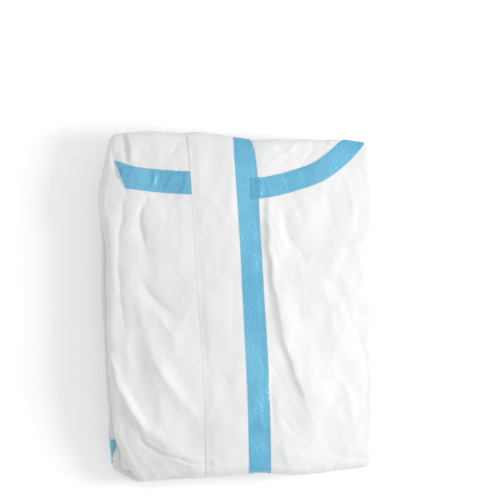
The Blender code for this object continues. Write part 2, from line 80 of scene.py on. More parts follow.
# Where the folded edges lie. Columns: place along the edge, the top strip's edge,
# and the edge of the strips below it.
TOP = 1
BELOW = 2
LEFT_EDGE = (
    (-154, -96.5, -118), (-137, -105.4, -119.5), (-123, -112.2, -120.5),
    (-60, -118.5, -122), (-20, -120, -123.8), (15, -120, -124.2), (57, -119.5, -123.6),
    (93, -124.6, -122), (120, -120.2, -118), (142, -114.4, -113.5),
    (152, -113.8, -112),
)
RIGHT_EDGE = (
    (-150, 113.5, 111), (-48, 117, 114.5), (43, 121, 118), (113, 124.8, 121.5),
    (143, 121.5, 119),
)
FRONT_EDGE = (
    (-98, -153, -154), (-88, -150.6, -154), (-76, -149.6, -154), (-43, -149, -154.2),
    (-10, -148.7, -153.6), (5, -148.9, -152.6), (16, -150.2, -151.2),
    (26, -152.6, -150.6), (61, -153.8, -149.5), (85, -151.8, -148.6),
    (115, -150.6, -147.5),
)
BACK_EDGE = (
    (-112, 152, 148.4), (-97, 152, 149), (-77, 152.6, 149.6), (-45, 151.4, 149),
    (-16, 147.7, 147.8), (9, 144.6, 147), (40, 144.3, 146.2), (75, 143.5, 145.6),
    (98, 143.4, 144.8), (109, 141.2, 143.2), (121, 138.8, 141),
)
# Rounding of the top strip's corners, left and right.
FRONT_CORNERS = (0.5, 5.0)
BACK_CORNERS = (0.5, 0.5)
# Corners of the legs below, left and right, each at the front and at the back, and how
# far in the front left one is cut. Where the legs' folds lie at the front and back.
LEG_CORNERS = ((14.5, 17.0), (17.0, 14.0))
CORNER_CUT = 22.0
CORNER_POWER = 1.2
LAYERS_FRONT = -150.0
LAYERS_BACK = 148.0

# The flap's free edge and the centre tape. Columns: place along Y, then X.
FLAP_EDGE = (
    (-150, -39.2), (-77, -38.4), (10, -41.2), (95, -43.4), (150, -45.4),
)
FLAP_SEAM = 11.0
CENTRE_TAPE = (
    (-150, -2.2, 16.6), (-90, -1.2, 17.8), (0, -2, 16.8), (75, -3, 15.4),
    (115, -4.2, 14.9), (133, -4.6, 13.2), (148, -4.4, 9.4),
)
# Where across a crossing tape settles from the flap to the chest, and so its relief.
TAPE_SETTLE = (11.2, 15.4)
TAPE_BLEND = (9.2, 16.4)
# The zip's two sides, and the neck seams and the left tape's run. Columns: X, then Y.
ZIP_LEFT = -14.0
ZIP_RIGHT = 4.0
NECK_SEAM_RIGHT = (
    (-128, 117), (-105, 112.5), (-78, 108.5), (-60, 106.5), (-42, 105), (-10, 103.5),
)
NECK_SEAM_LEFT = (
    (0, 99.4), (18, 99.6), (47, 105.3), (70, 112.8), (88.5, 124.5), (106, 139),
)
NECK_SEAM_END = 6.5
NECK_TAPE_LEFT_RUN = (
    (8.6, 98.9), (20, 99.6), (32, 101.6), (47, 105.3), (70, 112.8), (88.5, 125),
    (103.5, 139.5), (108.5, 148), (110.5, 157.5),
)
RUN_POINTS = 400
NECK_TAPE_WIDTH = 18.5
NECK_TAPE_RIGHT_WIDTH = 20.2
NECK_TAPE_RIGHT_RISE = 3.2
NECK_TAPE_RIGHT_RISES = (-90.0, -110.0)
NECK_TAPE_RIGHT_END = (-100.0, -109.5)
# How far it goes under the flap's free edge, and where it is pressed down there.
UNDER_FLAP = 1.0
UNDER_FLAP_PRESSED = (3.0, 0.8)
# Where the left neck tape ends on the centre tape, and its step over it.
TAPE_OVER = (17.2, 19.6)
TAPE_STEP = 1.2
# Room for the flap below the chest: depth, and where it starts and ends.
FLAP_ROOM = 0.9
FLAP_ROOM_FROM = (0.5, 8.0)
FLAP_ROOM_TO = (10.0, 16.0)
# Where the flap lifts along its free edge, and where it is pressed down across.
FLAP_LIFTS = ((80.0, 140.0), (-90.0, -150.0))
FLAP_EDGE_PRESSED = 0.16
FLAP_SEAM_PRESSED = 0.6

# Largest folds of the chest. Columns: X and Y of the start, middle and end, half width,
# height.
FOLD_ENDS = (0.03, 0.97)
FOLD_FADE = 0.6
FOLD_POINTS = 40
FOLDS = (
    (-116, 147, -109, 118, -100, 94, 6, -1),
    (-100, 92, -107, 56, -104, -28, 5, -0.8),
    (-113, 118, -112, 82, -114, 15, 6, 1.2),
    (-84, 92, -89, 66, -80, 44, 5, -0.9),
    (-90, 22, -77, 2, -60, -13, 5, -1.3),
    (-91, -6, -76, -55, -45, -99, 7.5, 1.8),
    (-98, -40, -90, -74, -74, -104, 7, -1.2),
    (-119, -36, -99, -92, -50, -134, 5, 1.7),
    (26, 0, 30, -42, 47, -88, 7, -0.5),
    (40, 84, 39.5, 58, 48, 38, 5, -0.7),
    (45, -88, 53, -110, 59, -134, 8, 0.7),
    (-101.5, 151, -100, 137, -98, 122, 4, -0.9),
)
# The bend at the lower left: the arc where it starts, and how far it drops.
BEND_ARC = ((-126.0, -20.0), (-104.0, -90.0), (-70.0, -129.5), (-10.0, -150.0))
BEND_DROP = 3.9
# Width and height of the crisp lip outside the arc, and the slope at the left.
BEND_LIP = (4.0, 1.2)
SIDE_SLOPE = (-101.5, -113.5, 1.0)
BEND_WIDTH = 26.0
BEND_POINTS = 60

# Finer creases of the chest and hood, on the opened-out cloth. Columns: start, middle
# and end, width to the left and to the right of the line, height, and how crisp.
CREASES = (
    # The roll along the wearer's right side, and the lip over the neck tape's end.
    (-113.5, 147, -108.5, 122, -99.5, 97, 1, 1.3, -0.8, 1),
    (-115, 136, -110.5, 115, -101, 95, 1.6, 8, 1, 0.7),
    (-104, 122, -101, 108, -96, 96, 3, 1.2, 0.5, 0.8),
    (-100.5, 98, -105, 74, -108.3, 44, 1.4, 2.4, -0.9, 1),
    (-108.4, 56, -107.6, 20, -103.5, -28, 1.4, 2.4, -0.9, 1),
    (-88, 90, -93, 50, -92, 12, 14, 13, 1.1, 0.2),
    (-116, 96, -119, 60, -117.5, 18, 2, 2, -0.5, 0.7),
    # The neck seam draws in; the hood rises from it.
    (-106, 121, -76, 117.5, -42, 113.5, 12, 3, -1, 0.3),
    (18, 107, 60, 119.5, 95, 144, 10, 3, -0.8, 0.3),
    # Under the right neck tape.
    (-97, 95.5, -88, 91.5, -78, 90, 2.2, 2.8, -0.55, 0.6),
    (-84, 96, -81.5, 89, -82, 82, 1.4, 1.8, -0.45, 0.8),
    (-81, 92, -89, 73, -84.5, 51, 1.9, 8, -1.5, 0.9),
    (-84, 53, -78.5, 48, -70, 42, 2, 5, 0.6, 0.8),
    (-80, 50, -75, 34, -77, 20, 8, 12, 0.9, 0.3),
    (-70, 92, -66, 70, -68, 50, 4.2, 4.2, -0.35, 0.2),
    (-56, 90, -52, 62, -55, 34, 4, 4, 0.35, 0.2),
    # Diagonal folds of the lower chest.
    (-90, 21, -76.5, 2, -61, -12, 4, 8, -1.1, 0.8),
    (-79.5, -5, -71.5, -17, -59, -29, 2.2, 6.5, 0.9, 0.9),
    (-94, 10, -92, -4, -87.5, -22, 8, 3.6, 0.7, 0.6),
    (-87.5, -28, -74.5, -59, -45.5, -99, 6.5, 14, 1.5, 0.8),
    (-84, -46, -78, -60, -70, -76, 5, 3, -0.4, 0.4),
    (-104, -14, -102, -40, -95, -66, 4, 3, 0.45, 0.3),
    (-121, -34, -106, -81, -86.5, -112.5, 4.6, 1.6, 1.3, 0.9),
    (-117.5, -36, -98.5, -80, -82, -111, 11, 2.6, -1, 0.6),
    (-97, -102, -88, -118.5, -70, -129, 0.9, 2.2, -1.25, 1),
    (-82, -124, -64, -130.4, -40, -138, 0.9, 2.2, -1.25, 1),
    (-50, -135, -30, -140.5, -4, -149, 0.9, 2.2, -1.3, 1),
    (-82, -119, -66, -127.5, -44, -133.5, 3.2, 1.6, 0.5, 0.7),
    (-90, -92, -74, -112, -54, -124, 4.5, 4.5, -0.4, 0.2),
    (-100, -122, -88, -138, -78, -150, 3, 3, 0.5, 0.4),
    (-74, -134, -62, -146, -58, -158, 2.4, 2.4, -0.4, 0.5),
    # The wearer's left front, beside the centre tape and to its right.
    (23.2, 98, 22.4, 53, 25.2, 9, 16, 2.6, 2.3, 0.6),
    (24, 30, 30.6, -18, 37.4, -54, 15, 4.6, 2.6, 0.5),
    (34.4, -44, 42.6, -68, 49.5, -93, 13, 3.6, 2.2, 0.8),
    (21.4, 81, 24.7, 69, 30, 57, 1.2, 2.6, -0.5, 0.9),
    (25, 54, 29.5, 40, 33, 20, 1.6, 3.6, -0.35, 0.8),
    (45, 92, 50, 80, 54, 66, 4.6, 3, -0.5, 0.3),
    (38, 81, 39, 60, 46, 46, 2.4, 4, -0.6, 0.7),
    (46, 48, 52, 40, 58, 28, 2, 3.4, -0.45, 0.7),
    (33, 74, 34, 56, 40, 38, 4, 3, 0.3, 0.4),
    (19, -64, 19.6, -88, 21, -114, 4.4, 2.6, -0.9, 0.5),
    (27, -99, 36, -111.5, 46, -123, 2, 5, -0.55, 0.8),
    (28, -120, 31, -134, 30, -146, 3, 3, 0.4, 0.4),
    (66, 100, 78, 82, 84, 58, 4, 4, -0.4, 0.2),
    (92, 112, 100, 90, 101, 60, 3.4, 3.4, 0.45, 0.3),
    (70, 22, 86, 2, 94, -26, 4.6, 4.6, -0.4, 0.2),
    (76, -60, 88, -88, 92, -120, 4, 4, 0.45, 0.2),
    (100, -30, 106, -64, 104, -100, 3, 3, -0.45, 0.3),
    (66, -134, 88, -141, 108, -139, 2.6, 4, -0.6, 0.4),
    # The hood.
    (-97.6, 155, -96.4, 138, -95.2, 123, 12, 2.6, 2, 0.6),
    (-99.6, 152, -98.6, 138, -97.8, 124, 1.2, 1.5, -1.5, 1),
    (-96, 146, -92.6, 136, -91, 124, 5, 2, -0.7, 0.5),
    (-90, 141, -88, 134, -88.5, 124, 3, 1.4, -0.5, 0.7),
    (-80, 152, -72, 138, -70, 124, 4, 4, 0.4, 0.2),
    (-62, 128, -57, 137, -50, 147, 1.8, 3.4, -0.45, 0.6),
    (26, 122, 40, 129, 52, 141, 3, 3, 0.6, 0.4),
    (22, 140, 36, 138, 46, 128, 2, 3.6, -0.5, 0.5),
    (58, 124, 66, 133, 68, 146, 1.8, 2.8, -0.55, 0.6),
    (74, 132, 82, 139, 86, 150, 1.8, 2.4, 0.4, 0.5),
)
# Creases of the turned edges. Columns as above; past the crown's border the places
# go on round the edge.
EDGE_CREASES = (
    (-118, 122, -122, 96, -121, 62, 2.6, 2.6, -0.7, 0.4),
    (-124, 84, -128, 52, -125, 10, 2.2, 3.4, 0.6, 0.4),
    (-121, 24, -123, -6, -121, -38, 1.8, 2.6, -0.7, 0.6),
    (-116, -36, -124, -58, -127, -92, 2.8, 2.8, 0.7, 0.4),
    (-128, -14, -131, -44, -128, -74, 2, 2.8, -0.6, 0.5),
    (-112, -96, -118, -118, -128, -132, 3, 2, -0.7, 0.5),
    (118, 128, 122, 96, 118, 58, 2.6, 2.6, -0.7, 0.4),
    (126, 110, 124, 72, 127, 34, 2.2, 3, 0.6, 0.4),
    (114, 52, 120, 26, 124, -8, 2, 3.2, -0.7, 0.5),
    (120, 2, 116, -34, 120, -70, 2.6, 2.6, 0.6, 0.4),
    (112, -48, 119, -82, 116, -122, 2, 3, -0.7, 0.5),
    (126, -60, 124, -92, 127, -126, 2.4, 2.4, 0.5, 0.4),
    (-96, -146, -70, -152, -40, -150, 2, 2.6, -0.6, 0.5),
    (-34, -156, -20, -150, -4, -154, 1.8, 2.4, 0.4, 0.5),
    (24, -150, 52, -154, 84, -149, 2.2, 2.8, -0.7, 0.4),
    (62, -158, 84, -155, 104, -159, 2, 2.4, 0.5, 0.5),
    (-96, 148, -76, 154, -54, 150, 2.2, 2.8, -0.6, 0.4),
    (-88, 160, -66, 156, -50, 161, 2, 2.4, 0.5, 0.4),
    (22, 146, 48, 150, 78, 146, 2.2, 2.6, -0.6, 0.4),
    (34, 156, 60, 153, 92, 157, 2, 2.6, 0.5, 0.4),
)
FLAP_CREASES = (
    (-38, 100, -26, 86, -12, 70, 3.6, 3, 0.45, 0.4),
    (-40, 88, -28, 76, -15, 60, 2.6, 4, -0.35, 0.4),
    (-9, 146, -7, 112, -10, 78, 4, 17, 1.2, 0.3),
    (-36, 142, -26, 134, -10, 131, 2, 3.4, -0.4, 0.5),
    (-30, 56, -26, 20, -30, -24, 4.4, 4.4, 0.3, 0.2),
    (-12, 44, -10, 6, -13, -40, 3.4, 3.4, -0.25, 0.2),
    (-35, -36, -24, -58, -12, -72, 3, 4, -0.3, 0.4),
    (-34, -98, -22, -106, -6, -104, 2.4, 3, 0.3, 0.4),
    (-36, -128, -24, -136, -8, -134, 2, 3, -0.35, 0.5),
)
# A crease's reach in widths, how narrow its ends are, and how a crisp one falls off.
CREASE_REACH = 3.2
CREASE_ENDS = 0.45
CRISP_FALL = 1.5
CRISP_ROUND = 0.03
# How all the creases' lines bend: amount, length and seed.
WOBBLE = (0.55, 26.0, 21)

# Puckers across seams: lean, sway along the seam, and the spread of the rest.
PUCKER_LEAN = 0.35
PUCKER_SWAY = 1.2
PUCKER_REACH = (0.5, 1.1)
PUCKER_WIDTH = (0.9, 1.8)
PUCKER_RISE = (0.4, 1.0)
PUCKER_STEP = (0.55, 1.6)
PUCKER_CRISP = 0.9
WRINKLE_DEPTH = -0.3

# Fields of the cloth: loose waves, a net of thin creases, flat facets, and shallow
# bowls as in crushed paper. Columns: length, height, seed.
UNDULATION = ((52.0, 0.28, 3), (24.0, 0.1, 4))
NET_LINES = ((31.0, 0.24, 40), (17.0, 0.12, 42), (9.0, 0.05, 44))
FACETS = ((46.0, 0.3, 70), (22.0, 0.1, 75))
CRUMPLE = ((30.0, 0.7, 110), (15.0, 0.26, 115), (7.5, 0.07, 120))
FLAP_WAVES = (UNDULATION[0], (19.0, 0.12, 8))
FLAP_NET = ((21.0, 0.1, 50),)
# Shares of the flap's creases, of the seam's puckers and of the bowls on the flap.
FLAP_SHARES = (0.8, 0.4, 0.3)
# Uneven patches of the facets and of the bowls: least share, range, length, seed.
FACET_PATCHES = (0.35, -0.6, 0.9, 75.0, 90)
CRUMPLE_PATCHES = (0.45, -0.8, 0.6, 60.0, 95)
CRUMPLE_FADE = (30.0, 100.0, 0.35)
WAVE_COUNT = 9
WAVE_SPREAD = (0.75, 1.45)
FACET_COUNT = 4
FACET_BEND = (0.12, 1.6)
FACET_SPREAD = (0.8, 1.6)
FACET_LEAN = (0.3, 0.7)
BOWLS = 64
BOWL_BEND = (0.12, 1.9)
BOWL_LEAN = 0.35
BOWL_LONG = 1.5
BOWL_UNEVEN = 0.12
BOWL_HEIGHTS = (2.0, -0.6)
NET_WIDTH = 0.2
NET_SHOWS = (-0.2, 1.1)
NET_PATCH = 2.7
# How far from its free edge the flap follows the chest under it, and where it stops.
FLAP_FOLLOWS = (1.5, 9.0)

# The legs: four strips, from the chest down. Columns: top and bottom.
STRIPS = (
    (26.6, 19.5), (19.5, 13), (13, 6.5), (6.5, 0),
)
# How far each layer's folded edge stands out, two layers a strip, upper first.
# Columns: left at the waist fold, left at the hood fold, then the same at the right.
LAYER_STANDS = (
    (-0.6, 0.2, -1.4, 0.2), (0.4, -1.6, 0.3, -1.2), (-0.4, -2.2, 0.8, -0.6),
    (-2.6, -0.8, -0.6, 0.9), (0.8, -0.4, -1.8, -0.4), (-0.8, 0.7, 0, -2),
    (-2, -1.4, 0.5, 0.2), (-0.4, -0.6, -0.8, -0.6),
)
# Waves of the layers' edges: lengths, height, and shift by layer and by side.
LAYER_WAVES = (61.0, 33.0)
LAYER_WAVE_HEIGHT = 0.55
LAYER_SHIFT = 1.7
SIDE_SHIFT = 2.1
LAYER_NET = ((14.0, 0.6, 65),)
EDGES_APART = (50.0, 20.0)
LAYER_LEVELS = (0.25, 0.75)
LAYER_ROUND = 2.6
LAYER_HALF = 1.5
# How plump a layer is, and the ripple of its faces: height, lengths, shifts.
PLUMP = 0.92
PLUMP_LEAST = 0.55
PLUMP_ACROSS = 0.4
PLUMP_WAVES = ((34.0, 0.2, 61),)
PLUMP_NET = ((19.0, 0.16, 63),)
LAYERS_APART = 40.0
RIPPLE = 0.7
RIPPLE_LENGTHS = (31.0, 27.0)
RIPPLE_SHIFTS = (4.0, 3.0)
TURN_DEPTH = 5.5
INNER_TURN_DEPTH = 2.4
TURN_ROWS = 15
LEG_BACK = 141.0
LEG_FRONT = -143.0
LEG_START = -137.0
LEG_END = -146.5
LEG_STEP = 3.0
LIP_LINES = 6
FLAT_LINES = 40
DRAW_IN = (-88.0, -104.0)
DRAW_IN_HEIGHTS = (18.0, 21.0)
DRAWN_IN = 8.5
# The hem: length, how far it draws in, heights, and its gathers.
HEM = 24.0
HEM_IN = 10.0
HEM_HEIGHTS = (6.5, 5.0)
HEM_GATHER = 9.0
HEM_SWAY = (1.4, 17.0)
HEM_PRESSED = 0.35
LEG_CLOTH = 0.35
LEG_TAPE_PLACE = (-137.0, -115.4)
LEG_TAPE_START = -50.0
LEG_TAPE_ROUND = 3.2
LEG_TAPE_LENGTH = 13.5
LEG_TAPE_SLANT = 2.3
LEG_TAPE_OUT = 0.75

# Zip: how far out it lies. Teeth: where they start and end, their pitch, and length,
# width and rise.
ZIP_OUT = -0.9
ZIP_TEETH_FROM = -138.0
ZIP_TEETH_TO = 138.0
TOOTH_PITCH = 2.5
TOOTH = (5.6, 1.3, 0.35)
TOOTH_ROUND = 0.3

# Size of the grids' cells, and where the right front starts and meets the border.
FINE = 1.25
RIGHT_LEVELS = (-135.0, -111.0)
# Lengths of cloth that the grids' lines divide, across and along, and how far the long
# pieces go round their ends.
RIGHT_ACROSS = 98.0
LEFT_ACROSS = 96.0
FLAP_ACROSS = 52.0
FRONT_ALONG = 252.0
LEFT_ALONG = 270.0
HOOD_ALONG = 36.0
FULL_ALONG = 284.0
LONG_ROUND = 0.94
# Cells across the tapes and the zip, along the neck tapes, round the leg tape, and at
# the end of the neck seam.
TAPE_CELLS = 18
ZIP_CELLS = 12
RIGHT_TAPE_CELLS = 66
LEFT_TAPE_CELLS = 110
LEG_TAPE_CELLS = 14
SEAM_END_CELLS = 6
# The turned cloth goes on inwards out of sight, by less at the waist fold.
TUCK_LINES = 8
TUCK_FALL = 0.025
FRONT_TUCK = 0.25

# Colours, linear.
CLOTH_LIGHT = (0.70, 0.698, 0.692, 1.0)
CLOTH_DARK = (0.66, 0.668, 0.672, 1.0)
# The layers below are the same white cloth, made a touch darker: painted shade under the top
# strip.
SHADED_BELOW_LIGHT = (0.69, 0.687, 0.68, 1.0)
SHADED_BELOW_DARK = (0.65, 0.655, 0.658, 1.0)
TAPE_LIGHT = (0.13, 0.42, 0.59, 1.0)
TAPE_DEEP = (0.09, 0.352, 0.54, 1.0)
TAPE_ON_TAPE = (0.62, 0.84, 0.92, 1.0)
TAPE_DOUBLE = 0.0172
ZIP_WHITE = (0.76, 0.78, 0.80, 1.0)
FLOOR_WHITE = (0.99, 0.99, 0.99, 1.0)
FLOOR_DROP = -0.05
FLOOR_SIZE = 6.0
# Depths of the materials' creases and fibres, in metres, and kinds of their sockets.
CRINKLE_DEPTH = 0.0004
FIBRE_DEPTH = 0.0001
SOCKET_KINDS = {
    "Place": "NodeSocketVector",
    "Color": "NodeSocketColor",
    "Light": "NodeSocketColor",
    "Dark": "NodeSocketColor",
}
# Angles past which shading is sharp: on cloth and on a tooth.
CLOTH_SHARP = 50.0
TOOTH_SHARP = 40.0
# Distance in metres within which points are one, and what a share is divided by at least.
WELD = 1e-6
TINY = 1e-9
FULL_TURN = 2.0 * math.pi

# Light. Columns: name, place, aim, size, power in watts and colour.
SKY = (0.99, 0.995, 1.0, 1.0)
SKY_STRENGTH = 0.765
LIGHTS = (
    ("window", (0.74, -0.03, 0.45), (0.0, 0.0, 0.02), 0.34, 5.7, (1.0, 0.99, 0.98)),
    ("far fill", (-0.6, 0.3, 1.5), (-0.1, 0.0, 0.0), 1.6, 3.6, (0.97, 0.99, 1.0)),
)

# Camera: turn and tilt of the line to it, roll, distance, lens, and where it aims.
VIEW_TURN = -60.0
VIEW_TILT = 82.0
VIEW_ROLL = -2.3
VIEW_DISTANCE = 650.0
VIEW_LENS = 52.9
VIEW_AIM = (6.4, 45.0, 33.0)


def smooth(low, high, value):
    """Soft step from 0 at low to 1 at high."""
    part = np.clip((value - low) / (high - low), 0.0, 1.0)
    return part * part * (3.0 - 2.0 * part)


def along(rows, column, place):
    """Smooth value of one column at a place between the rows."""
    keys = np.array([row[0] for row in rows])
    values = np.array([row[column] for row in rows])
    slopes = np.gradient(values, keys)
    first = np.clip(np.searchsorted(keys, place) - 1, 0, len(keys) - 2)
    span = keys[first + 1] - keys[first]
    part = np.clip((place - keys[first]) / span, 0.0, 1.0)
    rise = smooth(0.0, 1.0, part)
    lead = part * (1.0 - part) ** 2 * span * slopes[first]
    tail = part * part * (part - 1.0) * span * slopes[first + 1]
    return values[first] * (1.0 - rise) + values[first + 1] * rise + lead + tail


def curve_through(points, count):
    """Evenly spread points of the smooth curve through the given ones."""
    rows = [(index, x, y) for index, (x, y) in enumerate(np.reshape(points, (-1, 2)))]
    places = np.linspace(0.0, len(rows) - 1.0, count)
    return np.stack([along(rows, 1, places), along(rows, 2, places)], axis=1)


def from_curve(curve, x, y):
    """Distance from a curve, place along it from 0 to 1, and side (left is +1)."""
    away = (x[..., None] - curve[:, 0]) ** 2 + (y[..., None] - curve[:, 1]) ** 2
    near = np.argmin(away, axis=-1)
    heading = np.gradient(curve, axis=0)
    stride = np.linalg.norm(heading, axis=1)
    unit = (heading / stride[:, None])[near]
    off_x = x - curve[near, 0]
    off_y = y - curve[near, 1]
    across = unit[..., 0] * off_y - unit[..., 1] * off_x
    ahead = unit[..., 0] * off_x + unit[..., 1] * off_y
    inner = (near > 0) & (near < len(curve) - 1)
    distance = np.where(inner, np.abs(across), np.hypot(off_x, off_y))
    place = (near + np.clip(ahead / stride[near], -0.5, 0.5)) / (len(curve) - 1.0)
    return distance, np.clip(place, 0.0, 1.0), np.sign(across)


def fold_share(place):
    """Share of a fold's height at a place along it, which fades at its ends."""
    return np.sin(math.pi * np.clip(place, *FOLD_ENDS)) ** FOLD_FADE


def crown(x, y):
    """Height of the chest over the floor, with its largest folds."""
    height = CROWN_HEIGHT
    for place, (far, fall, power) in ((x, FALL_ACROSS), (y, FALL_ALONG)):
        height = height - fall * np.abs(place / far) ** power
    for *points, half_width, rise in FOLDS:
        distance, place, _ = from_curve(curve_through(points, FOLD_POINTS), x, y)
        height = height + rise * fold_share(place) * np.exp(-(distance / half_width) ** 2)
    height = height - SIDE_SLOPE[2] * smooth(*SIDE_SLOPE[:2], x)
    distance, _, side = from_curve(curve_through(BEND_ARC, BEND_POINTS), x, y)
    outside = -side * distance
    height = height - BEND_LIP[1] * smooth(0.0, BEND_LIP[0], outside)
    return height - BEND_DROP * smooth(0.0, BEND_WIDTH, outside)


def front_border(x):
    """Where the waist fold starts to turn down."""
    return along(FRONT_EDGE, TOP, x) + REACH


def back_border(x):
    """Where the hood's fold starts to turn down."""
    return along(BACK_EDGE, TOP, x) - REACH


def borders(x, y):
    """Borders of the flat crown at a place: left, right, front and back."""
    left = along(LEFT_EDGE, TOP, y) + REACH
    right = along(RIGHT_EDGE, TOP, y) - REACH
    return left, right, front_border(x), back_border(x)


def past_borders(u, v):
    """How far a point of the opened-out cloth is past the crown, across and along."""
    left, right, front, back = borders(u, v)
    over_x = np.maximum(np.maximum(left - u, u - right), 0.0) / TURN
    over_y = np.maximum(np.maximum(front - v, v - back), 0.0) / TURN
    return over_x, over_y


def in_plan(u, v, reach):
    """Place in plan of a point of the opened-out cloth, on a ring at this reach."""
    left, right, front, back = borders(u, v)
    over_x, over_y = past_borders(u, v)
    over = np.maximum(np.maximum(over_x, over_y), TINY)
    side_x = np.where(u > 0.0, 1.0, -1.0)
    side_y = np.where(v > 0.0, 1.0, -1.0)
    x = np.clip(u, left, right) + side_x * over_x / over * reach
    y = np.clip(v, front, back) + side_y * over_y / over * reach
    front_radius = np.where(u < 0.0, *FRONT_CORNERS)
    radius = np.where(v < 0.0, front_radius, np.where(u < 0.0, *BACK_CORNERS))
    centre_x = np.where(side_x < 0.0, left + radius, right - radius)
    centre_y = np.where(side_y < 0.0, front + radius, back - radius)
    out_x = side_x * (x - centre_x)
    out_y = side_y * (y - centre_y)
    corner = (out_x > 0.0) & (out_y > 0.0)
    scale = np.maximum(out_x, out_y) / np.maximum(np.hypot(out_x, out_y), TINY)
    x = np.where(corner, centre_x + side_x * out_x * scale, x)
    y = np.where(corner, centre_y + side_y * out_y * scale, y)
    return x, y


def skin(u, v, out):
    """Point of the top strip's outer face, or of a face this far out from it."""
    over_x, over_y = past_borders(u, v)
    over = np.maximum(over_x, over_y)
    angle = np.minimum(over, 1.0) * TURN_ANGLE
    edge_x, edge_y = in_plan(u, v, 0.0)
    drop = smooth(*TUCK_DROP, edge_y)
    inwards = np.maximum(over - 1.0, 0.0) * TURN
    inwards = inwards * np.where(over_y > over_x, 1.0, 1.0 - TUCK_LESS * drop)
    x, y = in_plan(u, v, (REACH + out) * np.sin(angle) - inwards)
    top = crown(edge_x, edge_y)
    low = SIDE_LOW + (FRONT_LOW - SIDE_LOW) * drop
    z = (top + low) / 2.0 + ((top - low) / 2.0 + out) * np.cos(angle)
    return np.stack([x, y, z - TUCK_FALL * inwards], axis=-1)


def waves(u, v, length, seed):
    """Smooth uneven field of about unit height, whose features have one length."""
    draw = np.random.default_rng(seed)
    total = np.zeros(np.shape(u))
    for _ in range(WAVE_COUNT):
        heading = draw.uniform(0.0, FULL_TURN)
        pitch = length * draw.uniform(*WAVE_SPREAD)
        phase = draw.uniform(0.0, FULL_TURN)
        way = u * math.cos(heading) + v * math.sin(heading)
        total = total + np.sin(way * FULL_TURN / pitch + phase)
    return total / math.sqrt(WAVE_COUNT / 2.0)


def bent(u, v, amount, length, seed):
    """Places moved unevenly, so that straight lines on them bend."""
    return u + amount * waves(u, v, length, seed), v + amount * waves(u, v, length, seed + 1)


def facets(u, v, length, seed):
    """Uneven flat facets of papery cloth with crisp edges, of about unit height."""
    draw = np.random.default_rng(seed)
    bent_u, bent_v = bent(u, v, FACET_BEND[0] * length, FACET_BEND[1] * length, seed + 1)
    total = np.zeros(np.shape(u))
    for _ in range(FACET_COUNT):
        heading = draw.uniform(0.0, math.pi)
        pitch = length * draw.uniform(*FACET_SPREAD)
        lean = draw.uniform(*FACET_LEAN)
        way = bent_u * math.cos(heading) + bent_v * math.sin(heading)
        part = np.mod(way / pitch + draw.uniform(0.0, 1.0), 1.0)
        total = total + np.where(part < lean, part / lean, (1.0 - part) / (1.0 - lean)) - 0.5
    return total * 2.0 / math.sqrt(FACET_COUNT)


def bowls(u, v, length, seed):
    """Shallow bowls that meet in crisp straight ridges, as in crushed paper."""
    table = np.random.default_rng(seed).uniform(0.0, 1.0, (BOWLS, BOWLS, 3))
    bend, bend_length = BOWL_BEND[0], BOWL_BEND[1] * length
    across = u / length + bend * waves(u, v, bend_length, seed + 1)
    down = (v + BOWL_LEAN * u) / (length * BOWL_LONG) + bend * waves(u, v, bend_length, seed + 2)
    column = np.floor(across).astype(int)
    row = np.floor(down).astype(int)
    height = np.full(np.shape(u), np.inf)
    for side, way in itertools.product((-1, 0, 1), repeat=2):
        cell = table[(column + side) % BOWLS, (row + way) % BOWLS]
        away_x = across - column - side - cell[..., 0]
        away_y = down - row - way - cell[..., 1]
        height = np.minimum(height, away_x ** 2 + away_y ** 2 + BOWL_UNEVEN * cell[..., 2])
    return BOWL_HEIGHTS[0] * height + BOWL_HEIGHTS[1]


def net(u, v, length, seed):
    """Uneven net of thin creases: 0 on the flats between them and 1 on a crease."""
    line = np.exp(-np.abs(waves(u, v, length, seed)) / NET_WIDTH)
    return line * smooth(*NET_SHOWS, waves(u, v, NET_PATCH * length, seed + 1))


def layered(field, u, v, rows):
    """Sum of a field at the lengths, heights and seeds of a table."""
    return sum(rise * field(u, v, length, seed) for length, rise, seed in rows)


def patches(u, v, least, low, high, length, seed):
    """Uneven patches, from a least share up to 1."""
    return least + (1.0 - least) * smooth(low, high, waves(u, v, length, seed))


def creased(u, v, rows):
    """Height that a table's creases add at each place of the opened-out cloth."""
    height = np.zeros(np.shape(u))
    bent_u, bent_v = bent(u, v, *WOBBLE)
    for *points, left_width, right_width, rise, crisp in rows:
        line = curve_through(points, FOLD_POINTS)
        far = CREASE_REACH * max(left_width, right_width)
        low, high = line.min(axis=0) - far, line.max(axis=0) + far
        near = (bent_u > low[0]) & (bent_u < high[0]) & (bent_v > low[1]) & (bent_v < high[1])
        if not near.any():
            continue
        distance, place, side = from_curve(line, bent_u[near], bent_v[near])
        share = fold_share(place)
        width = np.where(side > 0.0, left_width, right_width)
        part = distance / (width * (CREASE_ENDS + (1.0 - CREASE_ENDS) * share))
        soft = np.exp(-part ** 2)
        sharp = np.sqrt(part ** 2 + CRISP_ROUND) - math.sqrt(CRISP_ROUND)
        sharp = np.exp(-CRISP_FALL * sharp)
        height[near] += rise * share * (soft + (sharp - soft) * crisp)
    return height


